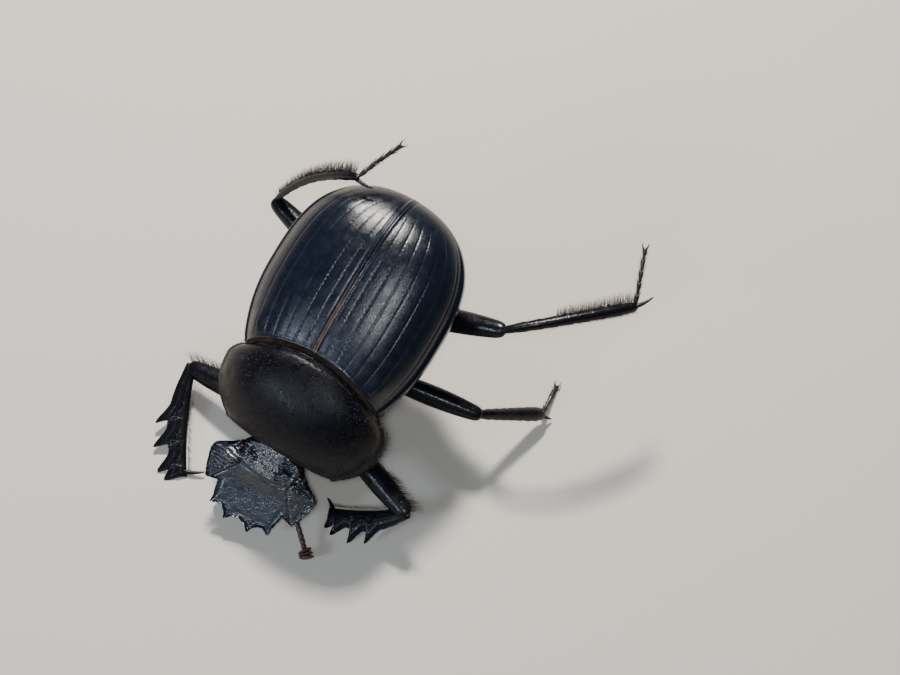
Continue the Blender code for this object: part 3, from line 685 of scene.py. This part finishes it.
MOUTH_AT = (0, -1.3, -2)
JAW_RADII = (1.45, 1.1, 0.7)
PALP_AT = (0.8, -1.7, -2.3)
PALP_REACH = (0.9, -1.4, 0.3)
PALP_BEND = (0.25, 0.1, -0.15)
PALP_HALF = 0.2
ANTENNAE = {
    "left": ((3.1, -10.8, -2.75), (4.5, -12.1, -3.15), (5.8, -13.35, -3)),
    "right": ((-2.9, -10.7, -2.15), (-3.1, -11.9, -2.9), (-2.3, -12.9, -3.15)),
}
STALK_HALF = 0.17
STALK_BEADS = 7
LEAVES = 3
LEAF_RADII = (0.56, 0.17, 0.45)
LEAF_STEP = 0.25
LEAF_FAN = 0.16


def tube(path, wide, deep, side, around=16):
    """Rings round a path of points: path + side * wide * cos(turn) + across * deep * sin(turn)."""
    along = unit(np.gradient(path, axis=0))
    side = unit(side - along * (along @ np.asarray(side, float))[:, None])
    across = np.cross(along, side)
    turn = turns(around)[:, None]
    ring = side[:, None] * wide[:, None, None] * np.cos(turn)
    ring += across[:, None] * deep[:, None, None] * np.sin(turn)
    return path[:, None] + ring, grid_faces(len(path), around, True)


def together(*shapes):
    """Several shapes' points and faces as one list of each."""
    points, faces, count = [], [], 0
    for some_points, some_faces in shapes:
        points.append(np.reshape(some_points, (-1, 3)))
        faces.append(some_faces + count)
        count += len(points[-1])
    return np.concatenate(points), np.concatenate(faces)


def rounded(s, power=7):
    """1 along the middle, falling to 0 at both ends of a limb."""
    return arch(2 * s - 1, power, 1 / 3)


def bent(start, end, bend, s):
    """Points at s on the way from start to end, moved aside by 4 s (1 - s) times the bend."""
    s = np.asarray(s, float)[..., None]
    return start + s * np.subtract(end, start) + 4 * s * (1 - s) * np.asarray(bend, float)


antenna_brown = chitin("antenna_brown", (0.05, 0.017, 0.012), 0.42, (14, 0.01), (9, 0.006))
shapes = [egg(MOUTH_AT, JAW_RADII)]
for mirror in ((1, 1, 1), (-1, 1, 1)):
    s = np.linspace(0, 1, 30)
    root, reach, bend = np.multiply(mirror, (PALP_AT, PALP_REACH, PALP_BEND))
    way = bent(root, root + reach, bend, s)
    beads = PALP_HALF * (0.8 + 0.3 * np.abs(np.sin(3 * np.pi * s))) * rounded(s)
    shapes.append(tube(way, beads, beads, (0, 0, 1), 12))
add_piece("jaws", together(*shapes), head_place, antenna_brown, ["mouthparts"])


def antenna(word):
    """A stalk along a quadratic curve, its outer two thirds beaded, and a fan of flat egg-shaped leaves."""
    root, elbow, club = np.array(ANTENNAE[word])
    way = unit(club - elbow)
    s = np.linspace(0, 1, 90)
    t = s[:, None]
    path = (1 - t) ** 2 * root + 2 * t * (1 - t) * elbow + t**2 * (club - way * 0.4)
    beads = 0.15 + 0.07 * np.abs(np.sin(STALK_BEADS * np.pi * s)) ** 0.7 * (0.7 + 0.5 * s)
    half = np.where(s < 0.35, STALK_HALF, beads) * rounded(s, 15)
    stalk = tube(path, half, half, (0, 0, 1))
    add_piece("antenna_beads_" + word, stalk, placed, antenna_brown, ["antenna_stalk_" + word])
    across = unit(np.cross(way, (0, 0, 1)))
    up = np.cross(across, way)
    leaves = []
    for leaf in range(LEAVES):
        local, faces = egg((0, 0, 0), LEAF_RADII)
        local = turned(local, 0, LEAF_FAN * (1 - leaf), (0, LEAF_STEP * (leaf - 1), 0))
        leaves.append((club + local @ np.stack((across, way, up)), faces))
    fan = together(*leaves)
    add_piece("antenna_leaves_" + word, fan, placed, antenna_brown, ["antenna_club_" + word])


antenna("left")
antenna("right")

# ---- Hips and thighs ----
# Each leg turns in a rounded hip sunk in the chest or belly. The thigh is a flattened spindle of glossy
# black chitin with a keel along its edge, cut off square where the shin folds against it.

LEGS = {  # each leg's hip, knee and shin end
    "fore_right": ((-2.95, -5.1, -3.9), (-9.95, -5.7, -5.2), (-5.9, -13.25, -3.95)),
    "fore_left": ((4, -4.4, -3.9), (10.9, -6.75, -3), (5.3, -9.9, -5.3)),
    "middle_right": ((-4.2, 1.6, -4.4), (-8.2, 6.9, -7.1), (-8.6, 10, -12.6)),
    "middle_left": ((4.2, 1.4, -4.4), (11.6, 2.45, -5.4), (15.25, 4.95, -10.8)),
    "hind_right": ((-1.9, 6.5, -4.9), (-10.6, 8.9, -4.8), (-3.8, 13.5, 3.1)),
    "hind_left": ((1.9, 6.3, -4.9), (10.55, 8.95, -1.9), (18.2, 15.7, -4.9)),
}
LEGS = {leg: np.array(points) for leg, points in LEGS.items()}
HIP_RADII = {"fore": (1.7, 1.25, 1.25), "middle": (1.5, 1.2, 1.15), "hind": (2, 1.15, 1.05)}
HIP_INWARD = {"fore": 0.75, "middle": 0.65, "hind": -0.25}
THIGH_HALVES = {"fore": (0.88, 0.62), "middle": (0.76, 0.66), "hind": (0.88, 0.7)}
KNEE = 0.3
THIGH_KEEL = 0.07
THIGH_RIDGE = 0.07


def limb(start, end, wide, deep, bow=(0, 0, 0), blunt=7, side=None):
    """A function of the way along s and the turn: a bent way from start to end, plus the two half widths of
    s times cosine and sine of the turn. The first of them is level in the body unless a side is given.
    It gives points and the way out of the surface."""
    axis = unit(np.subtract(end, start))
    side = np.cross(axis, (0, 0, 1)) if side is None else np.asarray(side)
    side = unit(side - axis * (axis @ side))
    across = np.cross(axis, side)

    def at(s, turn):
        ends = rounded(np.asarray(s, float)[..., None], blunt)
        out = side * (np.cos(turn) * wide(s))[..., None] + across * (np.sin(turn) * deep(s))[..., None]
        return bent(start, end, bow, s) + out * ends, unit(out)

    return at


def limb_mesh(shape, relief, rows=90, around=40):
    """The limb's function on a grid that crowds towards its ends, with its relief added outward."""
    turn, b = np.meshgrid(turns(around), np.linspace(0, 1, rows))
    s = (1 - np.cos(np.pi * b)) / 2
    points, out = shape(s, turn)
    height = relief(s, turn) * rounded(s)
    return points + out * height[..., None], grid_faces(rows, around, True)


def spindle(half, least, stretch):
    """A half width along a limb: the least share of it at the ends, and all of it in the middle."""
    return lambda s: half * (least + (1 - least) * np.sin(np.pi * np.clip(s * stretch + 0.1, 0, 1)))


def thigh_shape(leg):
    hip, knee, _ = LEGS[leg]
    half_wide, half_deep = THIGH_HALVES[leg.split("_")[0]]
    end = knee + KNEE * unit(knee - hip)
    return limb(hip, end, spindle(half_wide, 0.62, 0.88), spindle(half_deep, 0.65, 0.92), blunt=16)


def thigh_relief(s, turn):
    """A thin keel along each edge, and a low roof ridge above and below."""
    ridge = THIGH_RIDGE * np.abs(np.sin(turn)) ** 12 * np.sin(np.pi * s)
    return THIGH_KEEL * np.abs(np.cos(turn)) ** 30 + ridge


leg_black = chitin("leg_black", (0.004, 0.004, 0.006), 0.26, (7, 0.016), (3.2, 0.014), shine=0.22)
for leg, (hip, _, _) in LEGS.items():
    pair, word = leg.split("_")
    inward = HIP_INWARD[pair] if word == "left" else -HIP_INWARD[pair]
    hip_ball = egg(hip - (inward, 0, -0.1), HIP_RADII[pair])
    add_piece("hip_" + leg, hip_ball, placed, leg_black, ["coxa_" + leg])
    thigh = limb_mesh(thigh_shape(leg), thigh_relief)
    add_piece("thigh_" + leg, thigh, placed, leg_black, ["femur_" + leg])

# ---- Digging shins ----
# The front shins are broad blades with four strong teeth on the outer edge, fine saw teeth between them, a
# raised rib along the face and a curved thorn at the inner end. These beetles have no front feet.

SHIN_OUTWARD = {"fore_right": (-0.85, -0.5, 0.15), "fore_left": (0.5, -0.87, -0.1)}
BLADE_BOW = {"fore_right": (-0.6, -0.35, 0.1), "fore_left": (0.3, -0.55, -0.05)}
BLADE_TEETH = ((0.43, 0.98), (0.648, 1.04), (0.87, 1.08), (0.965, 0.85))
BLADE_HALF = 0.63
BLADE_THICK = 0.42
BLADE_SAW = 0.05
BLADE_SAW_TEETH = 40
SPUR_HALF = 0.19
SPUR_TIPS = {
    "fore_right": (-4.5, -12, -4.1),
    "fore_left": (4.6, -9, -5.4),
    "middle_right": (-8.9, 10.3, -13.4),
    "middle_left": (15.9, 4.9, -11.5),
    "hind_right": (-2.4, 13.3, 3),
    "hind_left": (18.9, 16.95, -4.9),
}


def spur(leg):
    """A thorn (1 - s)^0.6 thick, along a slightly bent path from inside the shin's end."""
    _, knee, tip = LEGS[leg]
    root = tip - unit(tip - knee) * 0.45
    end = np.array(SPUR_TIPS[leg])
    s = np.linspace(0, 1, 24)
    path = bent(root, end, np.cross(end - root, (0.2, 0.3, 0.9)) * 0.06, s)
    half = (SPUR_HALF * (1 - s) ** 0.6 + 0.015) * ramp(s, 0, 0.05) * (s < 1)
    return tube(path, half, half, (0.3, 0.4, 1), 14)


def blade(leg):
    """Across the blade u runs from the inner edge to the outer one, where each tooth is a leaning peak. Its
    thickness is a lens, sqrt(u) (1 - 0.85 u^1.6), with a rib and a furrow along the face."""
    _, knee, tip = LEGS[leg]
    length = np.linalg.norm(tip - knee)
    axis = (tip - knee) / length
    out = np.array(SHIN_OUTWARD[leg])
    out = unit(out - axis * (out @ axis))
    deep = np.cross(axis, out)
    deep *= np.sign(deep[2])
    u, s = np.meshgrid(np.linspace(0, 1, 41), np.linspace(0, 1, 241))
    teeth = BLADE_SAW * np.abs(np.sin(np.pi * s * BLADE_SAW_TEETH)) * (s > 0.12)
    for place, reach in BLADE_TEETH:
        teeth = np.maximum(teeth, reach * near(s, place, np.where(s < place, 0.058, 0.036), 2.1))
    body = BLADE_HALF * (0.6 + 2.6 * s * (1 - s))
    sideways = -body + u * (2 * body + teeth)
    ends = ramp(s, 0, 0.04) ** 0.5 * ramp(s, 1, 0.97) ** 0.5
    thick = (BLADE_THICK * np.sqrt(u) * (1 - 0.85 * u**1.6) * 1.35 + 0.03 * np.sqrt(u * (1 - u))) * ends
    rib = 0.22 * near(u, 0.42, 0.05) - 0.132 * near(u, 0.58, 0.07)
    along = s * length + 0.75 * teeth * u**2 - 0.4 * (1 - s) ** 10
    spots = knee + along[..., None] * axis + sideways[..., None] * out
    spots += (4 * s * (1 - s))[..., None] * np.array(BLADE_BOW[leg])
    return slab(spots + (thick * (1 + rib))[..., None] * deep, spots - thick[..., None] * deep)


def on_floor(points):
    """Points in the model's place, flattened where they would go below the floor."""
    points = placed(points)
    points[..., 2] = np.maximum(points[..., 2], 0)
    return points


for leg in SHIN_OUTWARD:
    add_piece("shin_" + leg, together(blade(leg), spur(leg)), on_floor, leg_black, ["tibia_" + leg])

# ---- Walking shins ----
# The middle shins widen to a blunt end, and the hind pair are long, thin and bowed, made to hold and turn a
# ball of dung behind the beetle. Each has ribs, low steps along its outer edge and a thorn at its end.

SHIN_HALVES = {
    "middle_right": (0.54, 0.42),
    "middle_left": (0.54, 0.42),
    "hind_right": (0.39, 0.31),
    "hind_left": (0.5, 0.4),
}
SHIN_WIDENING = {"middle": 0.4, "hind": 0.3}
SHIN_BOW = {"hind_right": (-0.68, 0.6, 0.2), "hind_left": (0, -0.2, 1)}
SHIN_RIB = 0.013
SHIN_STEP = 0.05
SHIN_STEPS = 9


def shin_shape(leg):
    _, knee, tip = LEGS[leg]
    half_wide, half_deep = SHIN_HALVES[leg]
    widening = SHIN_WIDENING[leg.split("_")[0]]
    return limb(
        knee - 0.45 * unit(tip - knee),
        tip,
        lambda s: half_wide * (0.65 + widening * s),
        lambda s: half_deep * (0.8 + 0.35 * s),
        SHIN_BOW.get(leg, (0, 0, 0)),
    )


def shin_relief(s, turn):
    """Four lengthwise ribs, and a row of low steps along the outer edge where the bristles stand."""
    steps = SHIN_STEP * ((s * SHIN_STEPS) % 1) * np.abs(np.cos(turn)) ** 14 * (s > 0.15)
    return SHIN_RIB * np.cos(4 * turn) + steps


for leg in SHIN_HALVES:
    shape = together(limb_mesh(shin_shape(leg), shin_relief, 180), spur(leg))
    add_piece("shin_" + leg, shape, placed, leg_black, ["tibia_" + leg])

# ---- Feet ----
# Middle and hind feet are chains of five small joints, each widening to its end, with a pair of curved
# claws on the last. The middle pair and the front shins carry the beetle; the hind feet are in the air.

TOES = {
    "middle_right": (-6.9, 12.6, -14.85),
    "middle_left": (14.75, 7.35, -12.62),
    "hind_right": (-2.15, 17.15, 3.1),
    "hind_left": (16.6, 19.75, -3.9),
}
FOOT_HALF = 0.21
FOOT_JOINTS = 5
FOOT_SAG = {"middle": (0, 0, -0.25), "hind": (0, 0.1, 0.15)}
CLAW_REACH = 0.72
CLAW_SPREAD = 0.2
CLAW_BEND = 0.12
CLAW_HOOK = 0.14
CLAW_HALF = 0.075


def foot_path(leg, s):
    """From inside the shin's end to the claws: a straight way with a slight sag."""
    _, knee, tip = LEGS[leg]
    return bent(tip - unit(tip - knee) * 0.25, TOES[leg], FOOT_SAG[leg.split("_")[0]], s)


foot_black = chitin("foot_black", (0.014, 0.01, 0.011), 0.3, (9, 0.012), (5, 0.012))
for leg in TOES:
    s = np.linspace(0, 1, 141)
    joint = (FOOT_JOINTS * s) % 1
    half = FOOT_HALF * (0.5 + 0.75 * joint**0.8) * np.clip((1.001 - joint) / 0.1, 0.35, 1) * (1 - 0.12 * s)
    half *= ramp(np.minimum(s, 1 - s), 0, 0.01)
    shapes = [tube(foot_path(leg, s), half, half * 0.85, (0.1, 0.2, 1), 18)]
    before, toe = foot_path(leg, (0.96, 1))
    way = unit(toe - before)
    flat = unit(np.cross(way, (0, 0, 1)))
    root = toe - way * 0.2
    t = np.linspace(0, 1, 20)
    for aside in (flat, -flat):
        claw = bent(root, root + way * CLAW_REACH + aside * CLAW_SPREAD, (0, 0, CLAW_HOOK), t)
        claw += aside * CLAW_BEND * np.sin(np.pi * t)[:, None]
        thin = CLAW_HALF * (1 - t) ** 0.7 * ramp(t, 0, 0.05)
        shapes.append(tube(claw, thin, thin, (0.1, 0.2, 1), 10))
    add_piece("foot_" + leg, together(*shapes), on_floor, foot_black, ["tarsus_" + leg])

# ---- Bristles ----
# Stiff red-brown hairs of solid chitin: fringes on thighs and shins, spines on the feet, a short
# fringe under the shield's sides, a row over the gap behind it, and tufts under the shovel and breast.

HAIR_RINGS = np.array((0, 0.4, 0.75, 1))
HAIR_PATCH = 0.003
HAIR_DARK = (0.008, 0.004, 0.003, 1)
HAIR_PALE = (0.045, 0.018, 0.009, 1)
SHIELD_HAIRS = 110
GAP_HAIRS = 420
SHOVEL_HAIRS = 260
BREAST_HAIRS = 700
JOINT_SPINES = 8
SOLE_HAIRS = 150
rng = np.random.default_rng(11)

# Red-brown, darker and paler from hair to hair by a noise in the model's space.
bristle_brown = bpy.data.materials.new("bristle_brown")
bristle_brown.use_nodes = True
tree = bristle_brown.node_tree
place = node(tree, "TexCoord", {}).outputs["Object"]
spread = node(tree, "TexNoise", {"Vector": place, "Scale": 900}).outputs["Fac"]
finish = {"Base Color": two_tones(tree, spread, HAIR_DARK, HAIR_PALE), "Roughness": 0.45}
feed(tree.nodes["Principled BSDF"], finish)


def hairs(name, roots, aims, shortest, longest, thick, droop, spots):
    """Three-sided tapered hairs. A ring at t lies at root + length (t aim + t^2 droop) and is
    thick (1 - 0.9 t) wide. Spots are the roots' places, across and along, on the unwrap of the surface
    they grow from."""
    lengths = rng.uniform(shortest, longest, len(roots))
    aims = unit(aims)
    t = HAIR_RINGS[None, :, None]
    centre = roots[:, None] + lengths[:, None, None] * (t * aims[:, None] + t**2 * np.asarray(droop))
    side = unit(np.cross(aims, (0.3, 0.2, 0.93)))
    up = np.cross(aims, side)
    turn = turns(3)[:, None]
    around = side[:, None, None] * np.cos(turn) + up[:, None, None] * np.sin(turn)
    points = on_floor(centre[:, :, None] + around * (thick * (1 - 0.9 * t))[..., None])
    each = 3 * len(HAIR_RINGS)
    first = np.arange(len(roots))[:, None, None] * each
    sides = (first + grid_faces(len(HAIR_RINGS), 3, True)).reshape(-1, 4)
    ends = (first + np.array(((0, 1, 2), (each - 1, each - 2, each - 3)))).reshape(-1, 3)
    mesh = mesh_of(name, points, sides, ends)
    corners = np.concatenate([sides.ravel(), ends.ravel()])
    patch = np.stack([(corners % 3) / 3, (corners % each) // 3 / len(HAIR_RINGS)], -1) * HAIR_PATCH
    flat = mesh.uv_layers.new(name="OFBake")
    spots = np.stack(np.broadcast_arrays(*spots), -1)[corners // each]
    flat.data.foreach_set("uv", (spots + patch).astype(np.float32).ravel())
    add_mesh(mesh, bristle_brown)


def round_spots(s, turn):
    """The places of a limb's roots on its unwrap: along it, and round it."""
    return 0.02 + 0.95 * s, 0.02 + 0.95 * ((turn / (2 * np.pi)) % 1)


def fringe(name, shape, count, rows, length, lean, spread=0.25, first=0.1, last=0.97, thick=0.022):
    """Hairs in rows along a limb: each row at one turn, leaning towards the limb's end."""
    s = np.concatenate([np.linspace(first, last, count) + rng.normal(0, 0.3 / count, count) for _ in rows])
    s = np.clip(s, 0.03, 0.985)
    turn = np.repeat(rows, count) + rng.normal(0, spread, len(s))
    roots, out = shape(s, turn)
    start, end = shape(np.array((0, 1)), np.zeros(2))[0]
    aims = out + lean * unit(end - start) + rng.normal(0, 0.14, out.shape)
    length = length * (0.5 + 0.55 * s)
    droop = (0, 0, -0.06)
    name, spots = "bristles_" + name, round_spots(s, turn)
    hairs(name, roots - out * 0.03, aims, 0.7 * length, 1.1 * length, thick, droop, spots)


for leg, behind in (("fore_right", 0), ("fore_left", np.pi)):
    fringe("thigh_" + leg, thigh_shape(leg), 120, (behind,), 1.15, 1.2, 0.35, 0.5, 0.98, 0.02)
for leg in ("middle_right", "middle_left"):
    fringe("thigh_" + leg, thigh_shape(leg), 24, (np.pi,), 0.3, 0.9, 0.3, 0.4)
    fringe("shin_" + leg, shin_shape(leg), 28, (0, np.pi), 0.34, 1.5, 0.2, 0.2)
for leg, count, first, inner in (
    ("hind_right", 220, 0.08, (36, (0,), 0.22, 1.6, 0.15, 0.2)),
    ("hind_left", 132, 0.45, (90, (0, 0.4), 0.42, 1.5, 0.2, 0.2)),
):
    outer = (np.pi - 0.35, np.pi, np.pi + 0.3)
    fringe("shin_" + leg, shin_shape(leg), count, outer, 1, 0.3, 0.2, first, thick=0.018)
    fringe("inner_" + leg, shin_shape(leg), *inner)


def blade_edge(leg):
    """The inner edge of a digging shin, as a thin limb for hairs to grow from."""
    _, knee, tip = LEGS[leg]
    out = np.array(SHIN_OUTWARD[leg])
    bow = np.array(BLADE_BOW[leg]) - 0.4 * out
    return limb(knee - 0.45 * out, tip - 0.45 * out, lambda s: 0.1, lambda s: 0.1, bow, side=out)


for leg in SHIN_OUTWARD:
    fringe("blade_" + leg, blade_edge(leg), 60, (np.pi,), 0.6, 1.2, 0.5)


def foot_spines(leg):
    """Short spines round the end of each foot joint, and hairs along its sole."""
    s = np.repeat(np.arange(1, FOOT_JOINTS + 1) / FOOT_JOINTS - 0.03, JOINT_SPINES)
    turn = np.tile(turns(JOINT_SPINES) + 0.3, FOOT_JOINTS)
    s = np.concatenate([s, np.linspace(0.06, 0.95, SOLE_HAIRS)])
    turn = np.concatenate([turn, rng.uniform(0, 2 * np.pi, SOLE_HAIRS)])
    centre = foot_path(leg, s)
    along = unit(foot_path(leg, s + 0.01) - centre)
    side = unit(np.cross(along, (0.1, 0.2, 1)))
    out = side * np.cos(turn)[:, None] + np.cross(along, side) * np.sin(turn)[:, None]
    name, roots, aims = "spines_foot_" + leg, centre + 0.12 * out, 0.55 * out + along
    hairs(name, roots, aims, 0.28, 0.5, 0.022, (0, 0, 0), round_spots(s, turn))


for leg in TOES:
    foot_spines(leg)


def strewn(x, y, z, scatter):
    """Directions from three parts, each scattered about by a normal draw."""
    return xyz(x, y, z) + rng.normal(0, scatter, (np.size(x), 3))


def shield_fringe():
    """Short hairs from under the shield's side edges, pointing out and back."""
    v = np.tile(np.linspace(0.03, 0.98, SHIELD_HAIRS), 2) + rng.normal(0, 0.004, 2 * SHIELD_HAIRS)
    v = np.clip(v, 0.01, 0.99)
    hand = np.repeat((1, -1), SHIELD_HAIRS)
    roots = on_prothorax(xyz(*shield_plan(hand * 0.985, v, 0), shield_edge(v) - 0.2))
    aims = strewn(hand, 0.25, -0.55, 0.2)
    spots = (0.5 + 0.45 * hand, 0.02 + 0.95 * v)
    hairs("bristles_shield", roots, aims, 0.25, 0.5, 0.018, (0, 0, -0.1), spots)


def gap_hairs():
    """A dense row from the shield's hind edge, lying back over the gap to the wing cases."""
    side = rng.uniform(-0.96, 0.96, GAP_HAIRS)
    dome = arch(side, SHIELD_FLATNESS, SHIELD_ROUNDNESS)
    z = shield_edge(0) + (SHIELD_TOP - 0.75 - shield_edge(0)) * dome - 0.2
    roots = on_prothorax(xyz(*shield_plan(side, 0 * side, -0.15), z))
    aims = strewn(0.2 * side, 1, 0.1, 0.25)
    spots = (0.5 + 0.45 * side, 0.02)
    hairs("bristles_gap", roots, aims, 0.35, 0.6, 0.016, (0, 0, -0.2), spots)


def shovel_hairs():
    """Longer hairs from under the face plate and cheeks, fanning out ahead."""
    angle = rng.uniform(-1.75, 1.75, SHOVEL_HAIRS)
    rim = np.interp(np.degrees(np.abs(angle)), *zip(*HEAD_OUTLINE))
    reach = rng.uniform(0.72, 0.88, SHOVEL_HAIRS) * rim
    roots = on_head(xyz(reach * np.sin(angle), -reach * np.cos(angle), -0.3))
    aims = strewn(np.sin(angle), -np.cos(angle), -0.75, 0.2)
    spots = (0.5 + 0.25 * angle, 0.5 + 0.4 * (reach - 4))
    hairs("bristles_shovel", roots, aims, 0.5, 0.95, 0.018, (0, 0, -0.25), spots)


def breast_hairs():
    """Soft hairs over the breastplate's sides and between the hips."""
    x = rng.uniform(-5.6, 5.6, BREAST_HAIRS)
    y = rng.uniform(0.3, 5.2, BREAST_HAIRS)
    side = x / (back_half_width(y, BELLY_INSET) * 0.985)
    roots = turned(xyz(x, y, belly_height(y, side)), 0, CASE_YAW)
    aims = strewn(0.5 * side, 0.8, -0.9, 0.25)
    spots = (0.5 + 0.07 * x, 0.1 + 0.15 * y)
    hairs("bristles_breast", roots, aims, 0.4, 0.8, 0.016, (0, 0.1, 0), spots)


shield_fringe()
gap_hairs()
shovel_hairs()
breast_hairs()

# ---- Floor, light and camera ----
# A plain pale floor under soft studio light: the key lamp high behind the beetle's right side, a weaker one
# high in front, two low ones ahead for the head, and a pale sky. The camera looks down from the front left.

FLOOR_HALF = 1.2
FLOOR_PALE = (0.44, 0.405, 0.36, 1)
LAMPS_AIM = (0, 0, 8)
CAMERA_AIM = (7.69, 6.51, 0)
CAMERA_AZIMUTH = np.radians(25.8)
CAMERA_ELEVATION = np.radians(65)
CAMERA_ROLL = np.radians(6.3)
CAMERA_DISTANCE = 187.6

corners = FLOOR_HALF * np.array(((-1, -1, 0), (1, -1, 0), (1, 1, 0), (-1, 1, 0)))
mesh = mesh_of("floor", corners, np.arange(4)[None])
pale = bpy.data.materials.new("floor_pale")
pale.use_nodes = True
feed(pale.node_tree.nodes["Principled BSDF"], {"Base Color": FLOOR_PALE, "Roughness": 0.8})
mesh.materials.append(pale)
add_object("floor", mesh)


def lamp(name, at, size, power, colour):
    """A square soft lamp at a place in mm from the floor's middle, facing the beetle."""
    light = bpy.data.lights.new(name, "AREA")
    light.size = size * MM
    light.energy = power
    light.color = colour
    back = unit(np.subtract(at, LAMPS_AIM))
    right = unit(np.cross((0, 0, 1), back))
    facing = Matrix(np.stack((right, np.cross(back, right), back), -1).tolist())
    made = add_object(name, light)
    made.matrix_world = Matrix.Translation(np.multiply(at, MM)) @ facing.to_4x4()


lamp("key", (-88, 132, 192), 28, 1.5, (1, 0.96, 0.9))
lamp("front", (46, -94, 240), 30, 0.3, (0.9, 0.96, 1))
lamp("low", (35, -207, 137), 110, 0.04, (0.55, 0.76, 1))
lamp("cheek", (-98, -197, 132), 44, 0.3, (0.7, 0.82, 1))
sky = bpy.data.worlds.new("studio")
sky.use_nodes = True
feed(sky.node_tree.nodes["Background"], {"Color": (0.7, 0.8, 1, 1), "Strength": 0.12})
bpy.context.scene.world = sky

view = bpy.data.cameras.new("camera")
view.lens = 100
view.sensor_width = 36
view.clip_start = 0.01
camera = add_object("camera", view)
turn = Matrix.Rotation(CAMERA_AZIMUTH, 4, "Z")
turn = turn @ Matrix.Rotation(np.pi / 2 - CAMERA_ELEVATION, 4, "X") @ Matrix.Rotation(CAMERA_ROLL, 4, "Z")
aim = placed(CAMERA_AIM)
camera.matrix_world = Matrix.Translation(aim + np.array(turn.col[2][:3]) * CAMERA_DISTANCE * MM) @ turn
bpy.context.scene.camera = camera
